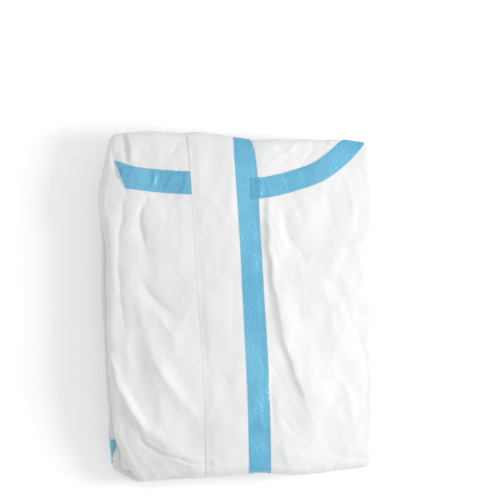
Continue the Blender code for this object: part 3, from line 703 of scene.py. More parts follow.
def puckers(seed, first, last, step, seam, reach, rise):
    """Rows of short creases across a seam: uneven, about a step apart."""
    draw = np.random.default_rng(seed)
    rows = []
    place = first
    while place < last:
        x, y, heading_x, heading_y = seam(place)
        lean = draw.uniform(-PUCKER_LEAN, PUCKER_LEAN)
        before = reach * draw.uniform(*PUCKER_REACH)
        after = reach * draw.uniform(*PUCKER_REACH)
        way_x = -heading_y + lean * heading_x
        way_y = heading_x + lean * heading_y
        sway = draw.uniform(-PUCKER_SWAY, PUCKER_SWAY)
        widths = draw.uniform(*PUCKER_WIDTH), draw.uniform(*PUCKER_WIDTH)
        height = rise * draw.uniform(*PUCKER_RISE) * draw.choice((-1.0, 1.0))
        start = (x - way_x * before, y - way_y * before)
        middle = (x + heading_x * sway, y + heading_y * sway)
        end = (x + way_x * after, y + way_y * after)
        rows.append((*start, *middle, *end, *widths, height, PUCKER_CRISP))
        place += step * draw.uniform(*PUCKER_STEP)
    return tuple(rows)


def neck_seam(table):
    """The function that gives a neck seam's point and heading at a place across."""

    def at(place):
        here = along(table, 1, place)
        ahead = along(table, 1, place + 1.0)
        length = math.hypot(1.0, ahead - here)
        return place, here, 1.0 / length, (ahead - here) / length

    return at


def centre_seam(place):
    """Point and heading of the centre tape's middle at a place along."""
    middle = (along(CENTRE_TAPE, 1, place) + along(CENTRE_TAPE, 2, place)) / 2.0
    return middle, place, 0.0, 1.0


RIGHT_NECK = neck_seam(NECK_SEAM_RIGHT)
LEFT_NECK = neck_seam(NECK_SEAM_LEFT)
# Columns: seed, first and last place, step, seam, reach to each side, and height.
SEAM_PUCKERS = (
    puckers(31, -96.0, -46.0, 4.6, RIGHT_NECK, 14.0, 0.6)
    + puckers(32, 24.0, 104.0, 6.0, LEFT_NECK, 13.0, 0.5)
    + puckers(33, -140.0, 140.0, 17.0, centre_seam, 12.0, 0.22)
)
TAPE_WRINKLES = (
    puckers(34, -107.0, -60.0, 2.9, RIGHT_NECK, 9.0, 1.1)
    + puckers(35, 22.0, 74.0, 5.0, LEFT_NECK, 9.0, 0.4)
)
ALL_CREASES = CREASES + EDGE_CREASES + SEAM_PUCKERS


def crumpled(u, v):
    """Crumpled bowls of three sizes, in uneven patches."""
    fade = 1.0 - CRUMPLE_FADE[2] * smooth(*CRUMPLE_FADE[:2], u)
    return fade * patches(u, v, *CRUMPLE_PATCHES) * layered(bowls, u, v, CRUMPLE)


def relief(u, v):
    """All that the fine creases and loose waves add to the chest and hood."""
    height = creased(u, v, ALL_CREASES) + layered(waves, u, v, UNDULATION)
    height = height - layered(net, u, v, NET_LINES)
    height = height + patches(u, v, *FACET_PATCHES) * layered(facets, u, v, FACETS)
    return height + crumpled(u, v)


def chest_cloth(u, v):
    """Relief of the fronts and the hood, which sink to leave room for the flap."""
    edge = along(FLAP_EDGE, 1, v)
    sunk = smooth(edge + FLAP_ROOM_FROM[0], edge + FLAP_ROOM_FROM[1], u)
    return relief(u, v) - FLAP_ROOM * sunk * (1.0 - smooth(*FLAP_ROOM_TO, u))


def flap_cloth(u, v):
    """Relief of the flap, which follows the chest in its larger forms."""
    own, seam, crushed = FLAP_SHARES
    height = own * creased(u, v, FLAP_CREASES) + seam * creased(u, v, SEAM_PUCKERS)
    height = height + layered(waves, u, v, FLAP_WAVES) - layered(net, u, v, FLAP_NET)
    height = height + crushed * crumpled(u, v)
    follow = 1.0 - smooth(*FLAP_FOLLOWS, u - along(FLAP_EDGE, 1, v))
    return height * (1.0 - follow) + relief(u, v) * follow


def wrinkled(u, v):
    """The neck tapes' own wrinkles, none of which sinks into the cloth."""
    return np.maximum(creased(u, v, TAPE_WRINKLES), WRINKLE_DEPTH)


def tape_cloth(u, v):
    """Relief of tape across the flap's seam, from the flap's to the chest's."""
    share = smooth(*TAPE_BLEND, u)
    laid = flap_cloth(u, v) * (1.0 - share) + chest_cloth(u, v) * share
    return laid + wrinkled(u, v) * share


def right_tape_cloth(u, v):
    """Relief of the right neck tape: the chest's, and wrinkles of its own."""
    return chest_cloth(u, v) + wrinkled(u, v)


def lengthwise(t, low, high):
    """Place along the cloth: before 0 and past 1 it turns round the bundle's edge."""
    inner = low + (high - low) * np.clip(t, 0.0, 1.0)
    return inner + TURN * (np.minimum(t, 0.0) + np.maximum(t - 1.0, 0.0))


def full_length(t, level):
    """Place along a piece that runs from under the waist fold to under the hood's."""
    return lengthwise(t, front_border(level), back_border(level))


def right_seam(s, side):
    """Level across and place along of the right neck seam, a half gap to one side."""
    level = np.interp(s, (-1.0, 0.0, 1.0), (*RIGHT_LEVELS, ZIP_LEFT))
    return level, along(NECK_SEAM_RIGHT, 1, level) + side * GAP / 2.0


def right_across(s, v):
    """Across the wearer's right front, from its side fold to the zip."""
    left = along(LEFT_EDGE, TOP, v) + REACH
    return left + np.where(s < 0.0, s * TURN, s * (ZIP_LEFT - GAP - left))


def left_seam(s, side):
    """Level across and place along of the left neck seam, a half gap to one side."""
    start = ZIP_RIGHT + GAP
    level = start + s * (NECK_SEAM_LEFT[-1][0] - start)
    slope = along(NECK_SEAM_LEFT, 1, level + 0.5) - along(NECK_SEAM_LEFT, 1, level - 0.5)
    seam = np.minimum(along(NECK_SEAM_LEFT, 1, level), back_border(level))
    return level, seam + side * GAP / 2.0 * np.sqrt(1.0 + slope ** 2)


def left_across(s, v):
    """Across the wearer's left front: zip, the seam's end, border, side fold."""
    right = along(RIGHT_EDGE, TOP, v) - REACH
    start = ZIP_RIGHT + GAP
    inner = start + s * (right - NECK_SEAM_END - start)
    outer = right + (s - 2.0) * np.where(s < 2.0, NECK_SEAM_END, TURN)
    return np.where(s <= 1.0, inner, outer)


def right_front(s, t):
    """The wearer's right front, from the waist fold to the neck seam."""
    level, seam = right_seam(s, -1.0)
    v = lengthwise(t, front_border(level), seam)
    return right_across(s, v), v, 0.0


def right_hood(s, t):
    """Right side of the hood, from the neck seam over the hood's fold."""
    level, seam = right_seam(s, 1.0)
    v = lengthwise(t, seam, back_border(level))
    return right_across(s, v), v, 0.0


def left_front(s, t):
    """The wearer's left front, which turns down at the right and over the back fold."""
    level, seam = left_seam(np.minimum(s, 1.0), -1.0)
    level = np.where(s > 1.0, level + np.minimum(s - 1.0, 2.0) * REACH, level)
    v = lengthwise(t, front_border(level), np.where(s >= 1.0, back_border(level), seam))
    return left_across(s, v), v, 0.0


def left_hood(s, t):
    """Left side of the hood, a triangle between the neck seam and the hood's fold."""
    level, seam = left_seam(s, 1.0)
    v = lengthwise(t, seam, np.maximum(back_border(level), seam + GAP))
    return left_across(s, v) - GAP * (s >= 1.0), v, 0.0


def flap_out(s, v):
    """How far out the flap lies: least at its seam and along its free edge's middle."""
    lift = FLAP_LIFT * sum(smooth(*place, v) for place in FLAP_LIFTS) * (1.0 - s)
    pressed = FLAP_PRESSED * smooth(FLAP_EDGE_PRESSED, 0.0, s)
    return FLAP_OUT + lift - pressed - FLAP_SEAM_DOWN * smooth(FLAP_SEAM_PRESSED, 1.0, s)


def tape_out(u, v):
    """How far out a tape lies that crosses the flap's seam."""
    edge = along(FLAP_EDGE, 1, v)
    share = np.clip((u - edge) / (FLAP_SEAM - edge), 0.0, 1.0)
    return TAPE_OUT + flap_out(share, v) * (1.0 - smooth(*TAPE_SETTLE, u))


def storm_flap(s, t):
    """The flap over the zip, from its free edge to its seam under the centre tape."""
    v = full_length(t, FLAP_EDGE[2][1] + s * (FLAP_SEAM - FLAP_EDGE[2][1]))
    edge = along(FLAP_EDGE, 1, v)
    return edge + s * (FLAP_SEAM - edge), v, flap_out(s, v)


def zip_tape(s, t):
    """The closed zip between the fronts, under the flap."""
    u = ZIP_LEFT + s * (ZIP_RIGHT - ZIP_LEFT)
    return u, full_length(t, u), ZIP_OUT


def centre_tape(s, t):
    """The tape on the flap's seam, which lies half on the flap."""
    _, left, right = CENTRE_TAPE[2]
    v = full_length(t, left + s * (right - left))
    left = along(CENTRE_TAPE, 1, v)
    u = left + s * (along(CENTRE_TAPE, 2, v) - left)
    return u, v, tape_out(u, v)


def right_neck_tape(s, t):
    """Tape on the right neck seam, from the shoulder's roll to the flap's free edge."""
    low_end, high_end = NECK_TAPE_RIGHT_END
    left = low_end + (high_end - low_end) * t
    right = along(FLAP_EDGE, 1, along(NECK_SEAM_RIGHT, 1, left)) + UNDER_FLAP
    u = left + s * (right - left)
    v = along(NECK_SEAM_RIGHT, 1, u) + (t - 0.5) * NECK_TAPE_RIGHT_WIDTH
    v = v + NECK_TAPE_RIGHT_RISE * t * smooth(*NECK_TAPE_RIGHT_RISES, u)
    first, last = UNDER_FLAP_PRESSED
    return u, v, TAPE_OUT - TAPE_TUCK * smooth(right - first, right - last, u)


def left_neck_tape(s, t):
    """Tape on the left neck seam, from the centre tape over the hood's fold."""
    curve = curve_through(NECK_TAPE_LEFT_RUN, RUN_POINTS)
    heading = np.gradient(curve, axis=0)
    heading[0] = (1.0, 0.0)
    heading /= np.linalg.norm(heading, axis=1)[:, None]
    at = np.rint(s * (len(curve) - 1)).astype(int)
    offset = (t - 0.5) * NECK_TAPE_WIDTH
    u = curve[at, 0] - heading[at, 1] * offset
    v = curve[at, 1] + heading[at, 0] * offset
    return u, v, tape_out(u, v) + TAPE * TAPE_STEP * (1.0 - smooth(*TAPE_OVER, u))


def steps(low, high, count):
    """Even places from low up to high, without high itself."""
    return list(np.linspace(low, high, count, endpoint=False))


def all_steps(count):
    """Even places from 0 to 1."""
    return steps(0, 1, count) + [1.0]


def deselect():
    """Leave nothing selected, so that the next operator acts on its own piece alone."""
    if bpy.context.object and bpy.context.object.mode != "OBJECT":
        bpy.ops.object.mode_set(mode="OBJECT")
    bpy.ops.object.select_all(action="DESELECT")


def select(pieces):
    """Leave only these pieces selected, the first of them active."""
    deselect()
    for piece in pieces:
        piece.select_set(True)
    bpy.context.view_layer.objects.active = pieces[0]


def apply_modifiers(piece):
    """Make a piece's modifiers part of its mesh."""
    select([piece])
    for modifier in list(piece.modifiers):
        bpy.ops.object.modifier_apply(modifier=modifier.name)


def smooth_shade(piece, sharp=CLOTH_SHARP):
    """Shade a piece smoothly, apart from its sharp rims."""
    select([piece])
    bpy.ops.object.shade_smooth_by_angle(angle=math.radians(sharp))


def add_wall(cloth, wall):
    """Give cloth its thickness, inwards from its face."""
    shell = cloth.modifiers.new("Wall", "SOLIDIFY")
    shell.thickness = wall * MM
    shell.offset = -1.0
    apply_modifiers(cloth)
    smooth_shade(cloth)


def grid_piece(name, across, lengthways, place, closed=False):
    """Cloth from a grid that a function places. It gets its cut as a UV map."""
    deselect()
    columns = len(across) - 1
    bpy.ops.mesh.primitive_grid_add(x_subdivisions=columns, y_subdivisions=len(lengthways) - 1)
    cloth = bpy.context.object
    cloth.name = name
    mesh = cloth.data
    mesh.name = name
    row, column = np.divmod(np.arange(len(mesh.vertices)), columns + 1)
    laid, cut = place(np.array(across)[column], np.array(lengthways)[row])
    mesh.vertices.foreach_set("co", (laid * MM).ravel())
    corners = np.empty(len(mesh.loops), dtype=int)
    mesh.loops.foreach_get("vertex_index", corners)
    mesh.uv_layers[0].name = "cut"
    mesh.uv_layers[0].data.foreach_set("uv", (cut[corners] * MM).ravel())
    mesh.update()
    if closed:
        shape = bmesh.new()
        shape.from_mesh(mesh)
        bmesh.ops.remove_doubles(shape, verts=shape.verts, dist=WELD)
        bmesh.ops.recalc_face_normals(shape, faces=shape.faces)
        shape.to_mesh(mesh)
        shape.free()
    smooth_shade(cloth)
    return cloth


def laid_piece(name, across, lengthways, cut, own_relief):
    """Cloth laid on the top strip: its cut, moved out by its own relief."""

    def place(s, t):
        u, v, out = cut(s, t)
        return skin(u, v, out + own_relief(u, v)), np.stack([u, v], axis=-1)

    return grid_piece(name, across, lengthways, place)


def open_past_seam(cloth, across, lengthways):
    """Open the left front where the hood takes over, short of the seam's end."""
    columns = len(across)
    keep_from = across.index(1.0)
    keep_to = lengthways.index(1.0)
    shape = bmesh.new()
    shape.from_mesh(cloth.data)
    spare = []
    for face in shape.faces:
        column = sum(vert.index % columns for vert in face.verts) / len(face.verts)
        row = sum(vert.index // columns for vert in face.verts) / len(face.verts)
        if column < keep_from and row > keep_to:
            spare.append(face)
    bmesh.ops.delete(shape, geom=spare, context="FACES")
    shape.to_mesh(cloth.data)
    shape.free()


# The legs. Each is a flattened tube that goes to and fro through the four strips.
def leg_runs(upper):
    """A leg's run through each strip: layer, height, and where it starts and ends."""
    runs = []
    for strip, (top, bottom) in enumerate(STRIPS):
        height = bottom + LAYER_LEVELS[upper] * (top - bottom)
        ends = [LEG_BACK, LEG_FRONT] if strip % 2 else [LEG_FRONT, LEG_BACK]
        if strip == 0:
            ends[0] = LEG_START
        if strip == len(STRIPS) - 1:
            ends[1] = LEG_END
        runs.append((2 * strip + (not upper), height, ends, upper))
        upper = not upper
    return runs


def leg_line(first_upper):
    """Rows down a leg: along Y, height, way up, layer, next layer, share of the next."""
    rows = []
    runs = leg_runs(first_upper)
    for index, (layer, height, (start, end), upper) in enumerate(runs):
        way = 1.0 if end > start else -1.0
        for y in np.linspace(start, end, int(abs(end - start) / LEG_STEP)):
            rows.append((y, height, 0.0, way, layer, layer, 0.0))
        if index + 1 == len(runs):
            break
        next_layer, next_height = runs[index + 1][:2]
        depth = TURN_DEPTH if upper else INNER_TURN_DEPTH
        half = (height - next_height) / 2.0
        middle = (height + next_height) / 2.0
        for angle in np.linspace(0.0, math.pi, TURN_ROWS)[1:-1]:
            out_y = math.sin(angle) / depth
            out_z = math.cos(angle) / half
            length = math.hypot(out_y, out_z)
            y = end + way * depth * math.sin(angle)
            z = middle + half * math.cos(angle)
            up = (out_y / length, way * out_z / length)
            rows.append((y, z, *up, layer, next_layer, angle / math.pi))
    return np.array(rows)


def edge_stand(y, layer, side):
    """How far a layer's folded edge stands out at the left (0) or right (1)."""
    stands = np.array(LAYER_STANDS)
    which = layer.astype(int)
    near = stands[which, 2 * side]
    far = stands[which, 2 * side + 1]
    stand = near + (far - near) * smooth(LAYERS_FRONT, LAYERS_BACK, y)
    for index, length in enumerate(LAYER_WAVES):
        turn = y * FULL_TURN / length + which * (LAYER_SHIFT + index) + side * SIDE_SHIFT
        stand = stand + LAYER_WAVE_HEIGHT / (1.0 + index) * np.sin(turn)
    return stand - layered(net, y, which * EDGES_APART[0] + side * EDGES_APART[1], LAYER_NET)


def rounding(y, side):
    """How far a layer's edge comes in at the bundle's rounded corners."""
    front, back = LEG_CORNERS[side]
    to_front = np.clip(y - LAYERS_FRONT, 0.0, front)
    to_back = np.clip(LAYERS_BACK - y, 0.0, back)
    if side:
        inset = front - np.sqrt(np.maximum(front ** 2 - (front - to_front) ** 2, 0.0))
    else:
        inset = CORNER_CUT * (1.0 - to_front / front) ** CORNER_POWER
    return inset + back - np.sqrt(np.maximum(back ** 2 - (back - to_back) ** 2, 0.0))


def leg_edges(y, z, layer, next_layer, share):
    """Left and right edge of a leg at places along it."""
    drawn = DRAWN_IN * smooth(*DRAW_IN, y) * smooth(*DRAW_IN_HEIGHTS, z)
    hem = HEM_IN * smooth(LEG_END + HEM, LEG_END, y) * smooth(*HEM_HEIGHTS, z)
    both = []
    for side, (table, out) in enumerate(((LEFT_EDGE, -1.0), (RIGHT_EDGE, 1.0))):
        stand = edge_stand(y, layer, side) * (1.0 - share)
        stand = stand + edge_stand(y, next_layer, side) * share - rounding(y, side)
        both.append(along(table, BELOW, y) + out * (stand - drawn - hem))
    return both


def leg_ring():
    """Points round a leg: share of the edge's round, share of the flat, thickness."""
    turn = np.linspace(0.0, math.pi / 2.0, LIP_LINES)
    lip = [(1.0 - math.cos(angle), 0.0, math.sin(angle)) for angle in turn[:-1]]
    flat = [(1.0, part, 1.0) for part in np.linspace(0.0, 1.0, FLAT_LINES)]
    far_lip = [(2.0 - a, 1.0, h) for a, _, h in reversed(lip)]
    upper = lip + flat + far_lip
    lower = [(a, f, -h) for a, f, h in reversed(upper[1:-1])]
    return np.array(upper + lower + upper[:1])


def leg_piece(name, first_upper):
    """One leg, from inside the waist fold to its hem at the front."""
    rows = leg_line(first_upper)
    ring = leg_ring()
    strides = np.hypot(np.diff(rows[:, 0]), np.diff(rows[:, 1]))
    down = np.concatenate([[0.0], np.cumsum(strides)])

    def place(s, t):
        y, z, up_y, up_z, layer, next_layer, share = rows[t].T
        round_share, flat_share, thick = ring[s].T
        left, right = leg_edges(y, z, layer, next_layer, share)
        width = right - left
        x = left + LAYER_ROUND * round_share + flat_share * (width - 2.0 * LAYER_ROUND)
        shift = layer * LAYERS_APART
        plump = PLUMP + layered(waves, y, shift + PLUMP_ACROSS * x, PLUMP_WAVES)
        plump = plump - layered(net, y, shift + x, PLUMP_NET)
        thick = thick * LAYER_HALF * np.clip(plump, PLUMP_LEAST, 1.0)
        flat_hem = smooth(LEG_END + HEM, LEG_END + HEM / 2.0, y) * smooth(*HEM_HEIGHTS, z)
        gathers = np.sin(x * FULL_TURN / HEM_GATHER + HEM_SWAY[0] * np.sin(x / HEM_SWAY[1]))
        thick = thick * (1.0 - HEM_PRESSED * flat_hem * (0.5 + 0.5 * gathers))
        front = along(FRONT_EDGE, BELOW, x) / LAYERS_FRONT
        back = along(BACK_EDGE, BELOW, x) / LAYERS_BACK
        wave_x = np.sin(x / RIPPLE_LENGTHS[0] + z / RIPPLE_SHIFTS[0])
        wave_y = np.cos(y / RIPPLE_LENGTHS[1] + z / RIPPLE_SHIFTS[1])
        fade = np.sin(math.pi * np.clip(z / STRIPS[0][0], 0.0, 1.0))
        laid_y = y * np.where(y < 0.0, front, back) + thick * up_y
        laid_z = np.maximum(z + thick * up_z + RIPPLE * fade * wave_x * wave_y, 0.0)
        round_it = np.where(thick >= 0.0, x - left, width + right - x)
        round_it = np.where(s == len(ring) - 1, 2.0 * width, round_it)
        return np.stack([x, laid_y, laid_z], axis=-1), np.stack([round_it, down[t]], axis=-1)

    return grid_piece(name, range(len(ring)), range(len(rows)), place, closed=True)


def leg_tape(s, t):
    """Tape on a leg's seam, round the folded edge of the second strip and inwards."""
    low, high = LEG_TAPE_PLACE
    top, bottom = STRIPS[1]
    start = math.radians(LEG_TAPE_START)
    length = t * LEG_TAPE_LENGTH
    inwards = np.maximum(length - (math.pi / 2.0 - start) * LEG_TAPE_ROUND, 0.0)
    past_edge = np.maximum(length + start * LEG_TAPE_ROUND, 0.0)
    y = high + s * (low + past_edge * LEG_TAPE_SLANT - high)
    out = [edge_stand(y, np.full(np.shape(y), layer), 0) for layer in (2.0, 3.0)]
    angle = np.minimum(start + length / LEG_TAPE_ROUND, math.pi / 2.0)
    stand = np.maximum(*out) - rounding(y, 0) + LEG_TAPE_OUT
    x = along(LEFT_EDGE, BELOW, y) - stand + LAYER_ROUND * (1.0 - np.cos(angle)) + inwards
    z = (top + bottom) / 2.0 + ((top - bottom) / 2.0 + LEG_TAPE_OUT) * np.sin(angle)
    return np.stack([x, y, z], axis=-1), np.stack([y, length], axis=-1)


def zip_teeth():
    """Coil teeth down the middle of the closed zip."""
    middle = (ZIP_LEFT + ZIP_RIGHT) / 2.0
    places = np.arange(ZIP_TEETH_FROM, ZIP_TEETH_TO, TOOTH_PITCH)
    heights = skin(np.full(len(places), middle), places, ZIP_OUT)[:, 2]
    length, width, rise = TOOTH
    deselect()
    lying = (0.0, math.pi / 2.0, 0.0)
    bpy.ops.mesh.primitive_cylinder_add(
        vertices=8, radius=width / 2.0 * MM, depth=length * MM, rotation=lying
    )
    first = bpy.context.object
    bpy.ops.object.transform_apply(location=False, rotation=True, scale=False)
    round_ends = first.modifiers.new("Ends", "BEVEL")
    round_ends.width = TOOTH_ROUND * MM
    round_ends.segments = 2
    round_ends.limit_method = "ANGLE"
    round_ends.angle_limit = math.radians(60.0)
    apply_modifiers(first)
    teeth = [first] + [first.copy() for _ in places[1:]]
    for tooth, place, height in zip(teeth, places, heights):
        if tooth is not first:
            tooth.data = first.data.copy()
            bpy.context.scene.collection.objects.link(tooth)
        tooth.location = (middle * MM, place * MM, (height + rise) * MM)
    select(teeth)
    bpy.ops.object.join()
    coil = bpy.context.object
    coil.name = "zip_teeth"
    coil.data.name = "zip_teeth"
    bpy.ops.object.transform_apply(location=True, rotation=True, scale=True)
    smooth_shade(coil, TOOTH_SHARP)
    return coil


# Materials.
def add_node(tree, kind, sources, constants=(), **settings):
    """A node with its settings, its linked inputs and its constants; gives its outputs."""
    made = tree.nodes.new("ShaderNode" + kind)
    for name, value in settings.items():
        setattr(made, name, value)
    for socket, value in dict(constants).items():
        made.inputs[socket].default_value = value
    for socket, source in sources.items():
        tree.links.new(source, made.inputs[socket])
    return made.outputs


def shader_group(name, inputs, outputs):
    """An empty node group with named sockets, its inputs' ends and its outputs' ends."""
    tree = bpy.data.node_groups.new(name, "ShaderNodeTree")
    for way, sockets in (("INPUT", inputs), ("OUTPUT", outputs)):
        for socket in sockets:
            kind = SOCKET_KINDS.get(socket, "NodeSocketFloat")
            tree.interface.new_socket(socket, in_out=way, socket_type=kind)
    given = tree.nodes.new("NodeGroupInput").outputs
    return tree, given, tree.nodes.new("NodeGroupOutput").inputs


def crinkle_group():
    """Fine creases of thin papery cloth, as a height from 0 to 1."""
    inputs = ("Place", "Scale", "Bend")
    tree, given, result = shader_group("papery crinkle", inputs, ("Height",))
    place, scale = given["Place"], given["Scale"]
    bend = add_node(tree, "TexNoise", {"Vector": place, "Scale": scale}, {"Detail": 2.0})
    smaller = add_node(tree, "Math", {0: given["Bend"], 1: scale}, operation="DIVIDE")
    moves = {0: bend["Color"], "Scale": smaller["Value"]}
    amount = add_node(tree, "VectorMath", moves, operation="SCALE")
    moved = add_node(tree, "VectorMath", {0: place, 1: amount["Vector"]}, operation="ADD")
    cell_places = {"Vector": moved["Vector"], "Scale": scale}
    cells = add_node(tree, "TexVoronoi", cell_places, feature="DISTANCE_TO_EDGE")
    limits = {"From Max": 0.35}
    flat = add_node(tree, "MapRange", {"Value": cells["Distance"]}, limits,
                    interpolation_type="SMOOTHSTEP")
    tree.links.new(flat["Result"], result["Height"])
    return tree


def overlap_group():
    """Deeper colour on one side of a line of the cut, where one tape lies on another."""
    inputs = ("Place", "Color", "Edge", "Amount")
    tree, given, result = shader_group("tape on tape", inputs, ("Color",))
    parts = add_node(tree, "SeparateXYZ", {"Vector": given["Place"]})
    side = add_node(tree, "Math", {0: parts["X"], 1: given["Edge"]}, operation="LESS_THAN")
    shares = {0: side["Value"], 1: given["Amount"]}
    share = add_node(tree, "Math", shares, operation="MULTIPLY")
    sources = {"Factor": share["Value"], "A": given["Color"]}
    mix = add_node(tree, "Mix", sources, {"B": TAPE_ON_TAPE},
                   data_type="RGBA", blend_type="MULTIPLY")
    tree.links.new(mix["Result"], result["Color"])
    return tree


def fibre_group():
    """Fine pressed fibres of nonwoven cloth, as a height from 0 to 1."""
    tree, given, result = shader_group("pressed fibres", ("Place", "Scale"), ("Height",))
    sources = {"Vector": given["Place"], "Scale": given["Scale"]}
    grain = add_node(tree, "TexNoise", sources, {"Detail": 3.0, "Roughness": 0.6})
    tree.links.new(grain["Fac"], result["Height"])
    return tree


def cloudy_group():
    """Slow change between two colours, with a mask for other uses."""
    inputs = ("Place", "Scale", "Light", "Dark")
    tree, given, result = shader_group("cloudy tint", inputs, ("Color", "Mask"))
    sources = {"Vector": given["Place"], "Scale": given["Scale"]}
    cloud = add_node(tree, "TexNoise", sources, {"Detail": 2.5})
    limits = {"From Min": 0.35, "From Max": 0.65}
    spread = add_node(tree, "MapRange", {"Value": cloud["Fac"]}, limits)
    colours = {"Factor": spread["Result"], "A": given["Dark"], "B": given["Light"]}
    mix = add_node(tree, "Mix", colours, data_type="RGBA")
    tree.links.new(mix["Result"], result["Color"])
    tree.links.new(spread["Result"], result["Mask"])
    return tree


def principled(name, roughness, coat=0.0, sheen=0.0):
    """A material with its Principled shader's inputs."""
    material = bpy.data.materials.new(name)
    material.use_nodes = True
    shader = material.node_tree.nodes["Principled BSDF"].inputs
    shader["Roughness"].default_value = roughness
    shader["Coat Weight"].default_value = coat
    shader["Coat Roughness"].default_value = 0.18
    shader["Sheen Weight"].default_value = sheen
    shader["Sheen Roughness"].default_value = 0.4
    return material, material.node_tree, shader


def use_group(tree, group, place, **values):
    """One use of a node group at a place socket, with its other inputs by name."""
    return add_node(tree, "Group", {"Place": place}, values, node_tree=group)


def add_relief(tree, shader, place, groups, crinkle, fibre):
    """Bumps of creases and of fibres. Columns: scale, bend, strength; scale, strength."""
    creases = use_group(tree, groups["crinkle"], place, Scale=crinkle[0], Bend=crinkle[1])
    grain = use_group(tree, groups["fibre"], place, Scale=fibre[0])
    sources = {"Height": creases["Height"]}
    values = {"Strength": crinkle[2], "Distance": CRINKLE_DEPTH}
    large = add_node(tree, "Bump", sources, values)
    sources = {"Height": grain["Height"], "Normal": large["Normal"]}
    values = {"Strength": fibre[1], "Distance": FIBRE_DEPTH}
    fine = add_node(tree, "Bump", sources, values)
    tree.links.new(fine["Normal"], shader["Normal"])


def cloth_material(name, light, dark, groups):
    """White nonwoven cloth with a thin film on its face."""
    material, tree, shader = principled(name, 0.5, coat=0.05, sheen=0.12)
    place = add_node(tree, "TexCoord", {})["Object"]
    tint = use_group(tree, groups["cloudy"], place, Scale=16.0, Light=light, Dark=dark)
    tree.links.new(tint["Color"], shader["Base Color"])
    limits = {"To Min": 0.42, "To Max": 0.56}
    gloss = add_node(tree, "MapRange", {"Value": tint["Mask"]}, limits)
    tree.links.new(gloss["Result"], shader["Roughness"])
    add_relief(tree, shader, place, groups, (58.0, 0.9, 0.25), (950.0, 0.12))
    return material


def tape_material(name, groups, doubled):
    """Light blue film tape, sealed down, finely wrinkled and glossy."""
    material, tree, shader = principled(name, 0.3, coat=0.35)
    place = add_node(tree, "TexCoord", {})["Object"]
    shades = {"Light": TAPE_LIGHT, "Dark": TAPE_DEEP}
    tint = use_group(tree, groups["cloudy"], place, Scale=38.0, **shades)
    cut = add_node(tree, "UVMap", {}, uv_map="cut")["UV"]
    sources = {"Place": cut, "Color": tint["Color"]}
    values = {"Edge": TAPE_DOUBLE, "Amount": doubled}
    double = add_node(tree, "Group", sources, values, node_tree=groups["overlap"])
    tree.links.new(double["Color"], shader["Base Color"])
    add_relief(tree, shader, place, groups, (210.0, 0.8, 0.6), (420.0, 0.15))
    return material


def plain_material(name, roughness, colour):
    """The material of the zip and of the floor."""
    material, _, shader = principled(name, roughness)
    shader["Base Color"].default_value = colour
    return material, shader


def dress(piece, node, material, slot):
    """Give a finished piece its material and body, and hide its node's solid. The slot is not
    used.
    """
    piece.data.materials.clear()
    piece.data.materials.append(material)
    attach(piece, "root")
    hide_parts(node)


def add_light(name, place, aim, size, power, colour):
    """A soft light at a place, turned to what it lights."""
    data = bpy.data.lights.new(name, "AREA")
    data.shape = "SQUARE"
    data.size = size
    data.energy = power
    data.color = colour
    lamp = bpy.data.objects.new(name, data)
    bpy.context.scene.collection.objects.link(lamp)
    lamp.location = place
    lamp.rotation_euler = (Vector(aim) - Vector(place)).to_track_quat("-Z", "Y").to_euler()


def set_stage():
    """Pale floor, soft daylight and the light from the right and top."""
    deselect()
    bpy.ops.mesh.primitive_plane_add(size=FLOOR_SIZE, location=(0.0, 0.0, FLOOR_DROP * MM))
    floor = bpy.context.object
    floor.name = "pale_floor"
    material, shader = plain_material("pale floor", 0.9, FLOOR_WHITE)
    shader["Specular IOR Level"].default_value = 0.0
    floor.data.materials.append(material)
    world = bpy.data.worlds.new("soft daylight")
    world.use_nodes = True
    sky = world.node_tree.nodes["Background"].inputs
    sky["Color"].default_value = SKY
    sky["Strength"].default_value = SKY_STRENGTH
    bpy.context.scene.world = world
    for row in LIGHTS:
        add_light(*row)
    bpy.context.scene.view_settings.view_transform = "Standard"


def set_camera():
    """Camera nearly overhead, from the up-left of the photo, aimed at its middle."""
    turn, tilt, roll = (math.radians(angle) for angle in (VIEW_TURN, VIEW_TILT, VIEW_ROLL))
    level = math.cos(tilt)
    back = Vector((math.sin(turn) * level, -math.cos(turn) * level, math.sin(tilt)))
    right = Vector((0.0, 1.0, 0.0)).cross(back).normalized()
    up = back.cross(right)
    across = right * math.cos(roll) + up * math.sin(roll)
    upward = up * math.cos(roll) - right * math.sin(roll)
    data = bpy.data.cameras.new("photo view")
    data.sensor_width = 36.0
    data.lens = VIEW_LENS
    camera = bpy.data.objects.new("photo view", data)
    bpy.context.scene.collection.objects.link(camera)
    place = Vector(VIEW_AIM) * MM + back * VIEW_DISTANCE * MM
    turned = Matrix((across, upward, back)).transposed().to_4x4()
    camera.matrix_world = Matrix.Translation(place) @ turned
    bpy.context.scene.camera = camera


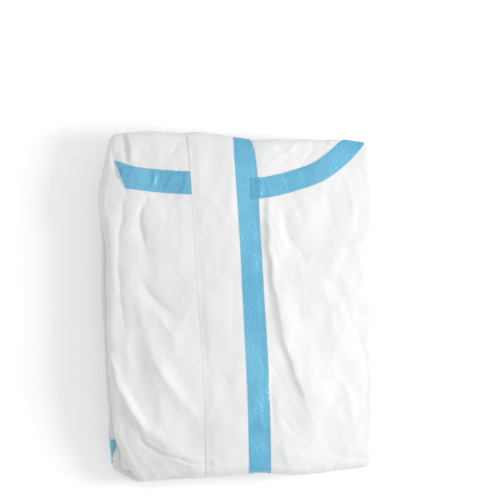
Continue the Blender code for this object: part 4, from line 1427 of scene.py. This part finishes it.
def build_garment():
    """All the pieces, each replacing its solid."""
    groups = {
        "crinkle": crinkle_group(),
        "fibre": fibre_group(),
        "cloudy": cloudy_group(),
        "overlap": overlap_group(),
    }
    white = cloth_material("white laminate cloth", CLOTH_LIGHT, CLOTH_DARK, groups)
    # A darker copy of the white cloth for the layers below: painted shade.
    below = cloth_material("white laminate cloth below", SHADED_BELOW_LIGHT, SHADED_BELOW_DARK, groups)
    blue = tape_material("blue seam tape", groups, 0.0)
    crossing = tape_material("blue seam tape that crosses", groups, 1.0)
    zip_white, _ = plain_material("white zip", 0.6, ZIP_WHITE)

    # Lines of the grids, across and along.
    side = int(TURN / FINE)
    tuck = [-1.0 - FRONT_TUCK, -1.0 - FRONT_TUCK / 2.0]
    over_back = steps(1, 2, side) + steps(2, 3, TUCK_LINES) + [3.0]
    right = steps(-2, -1, TUCK_LINES) + steps(-1, 0, side)
    right += all_steps(int(RIGHT_ACROSS / FINE))
    seam = steps(0, 1, int(LEFT_ACROSS / FINE))
    left = seam + steps(1, 2, SEAM_END_CELLS) + steps(2, 3, side)
    left += steps(3, 4, TUCK_LINES) + [4.0]
    front = tuck + steps(-1, 0, side) + all_steps(int(FRONT_ALONG / FINE))
    whole = tuck + steps(-1, 0, side) + steps(0, 1, int(LEFT_ALONG / FINE)) + over_back
    back = steps(0, 1, int(HOOD_ALONG / FINE)) + over_back
    long = steps(-LONG_ROUND, 0, side) + steps(0, 1, int(FULL_ALONG / FINE))
    long += steps(1, 1.0 + LONG_ROUND, side) + [1.0 + LONG_ROUND]
    tape = all_steps(TAPE_CELLS)

    # Columns: name, lines across and along, cut, relief, thickness, node, material, slot.
    rows = (
        ("right_front", right, front, right_front, chest_cloth, CLOTH,
         "front_right", white, "cloth"),
        ("left_front", left, whole, left_front, chest_cloth, CLOTH,
         "front_left", white, "cloth"),
        ("right_hood", right, back, right_hood, chest_cloth, CLOTH,
         "hood_right", white, "cloth"),
        ("left_hood", seam + [1.0], back, left_hood, chest_cloth, CLOTH,
         "hood_left", white, "cloth"),
        ("flap", all_steps(int(FLAP_ACROSS / FINE)), long, storm_flap, flap_cloth,
         FLAP_CLOTH, "storm_flap", white, "cloth"),
        ("flap_seam_tape", tape, long, centre_tape, tape_cloth, TAPE,
         "centre_tape", blue, "seam_tape"),
        ("right_neck_tape", all_steps(RIGHT_TAPE_CELLS), tape, right_neck_tape,
         right_tape_cloth, TAPE, "neck_tape_right", blue, "seam_tape"),
        ("left_neck_tape", all_steps(LEFT_TAPE_CELLS), tape, left_neck_tape,
         tape_cloth, TAPE, "neck_tape_left", crossing, "seam_tape"),
        ("zip_tape", all_steps(ZIP_CELLS), long, zip_tape, flap_cloth, CLOTH,
         "zip_tapes", zip_white, "zip"),
    )
    made = {}
    for name, across, lengthways, cut, own_relief, wall, *finish in rows:
        made[name] = laid_piece(name, across, lengthways, cut, own_relief)
        if name == "left_front":
            open_past_seam(made[name], across, lengthways)
        add_wall(made[name], wall)
        dress(made[name], *finish)
    teeth = zip_teeth()
    dress(teeth, "zip_tapes", zip_white, "zip")
    for name, first_upper in (("left_leg", True), ("right_leg", False)):
        made[name] = leg_piece(name, first_upper)
        add_wall(made[name], LEG_CLOTH)
        dress(made[name], "folded_layers", below, "cloth_below")
    leg_seam = grid_piece("leg_seam_tape", tape, all_steps(LEG_TAPE_CELLS), leg_tape)
    add_wall(leg_seam, TAPE)
    dress(leg_seam, "leg_tape", blue, "seam_tape")


build_garment()
set_stage()
set_camera()
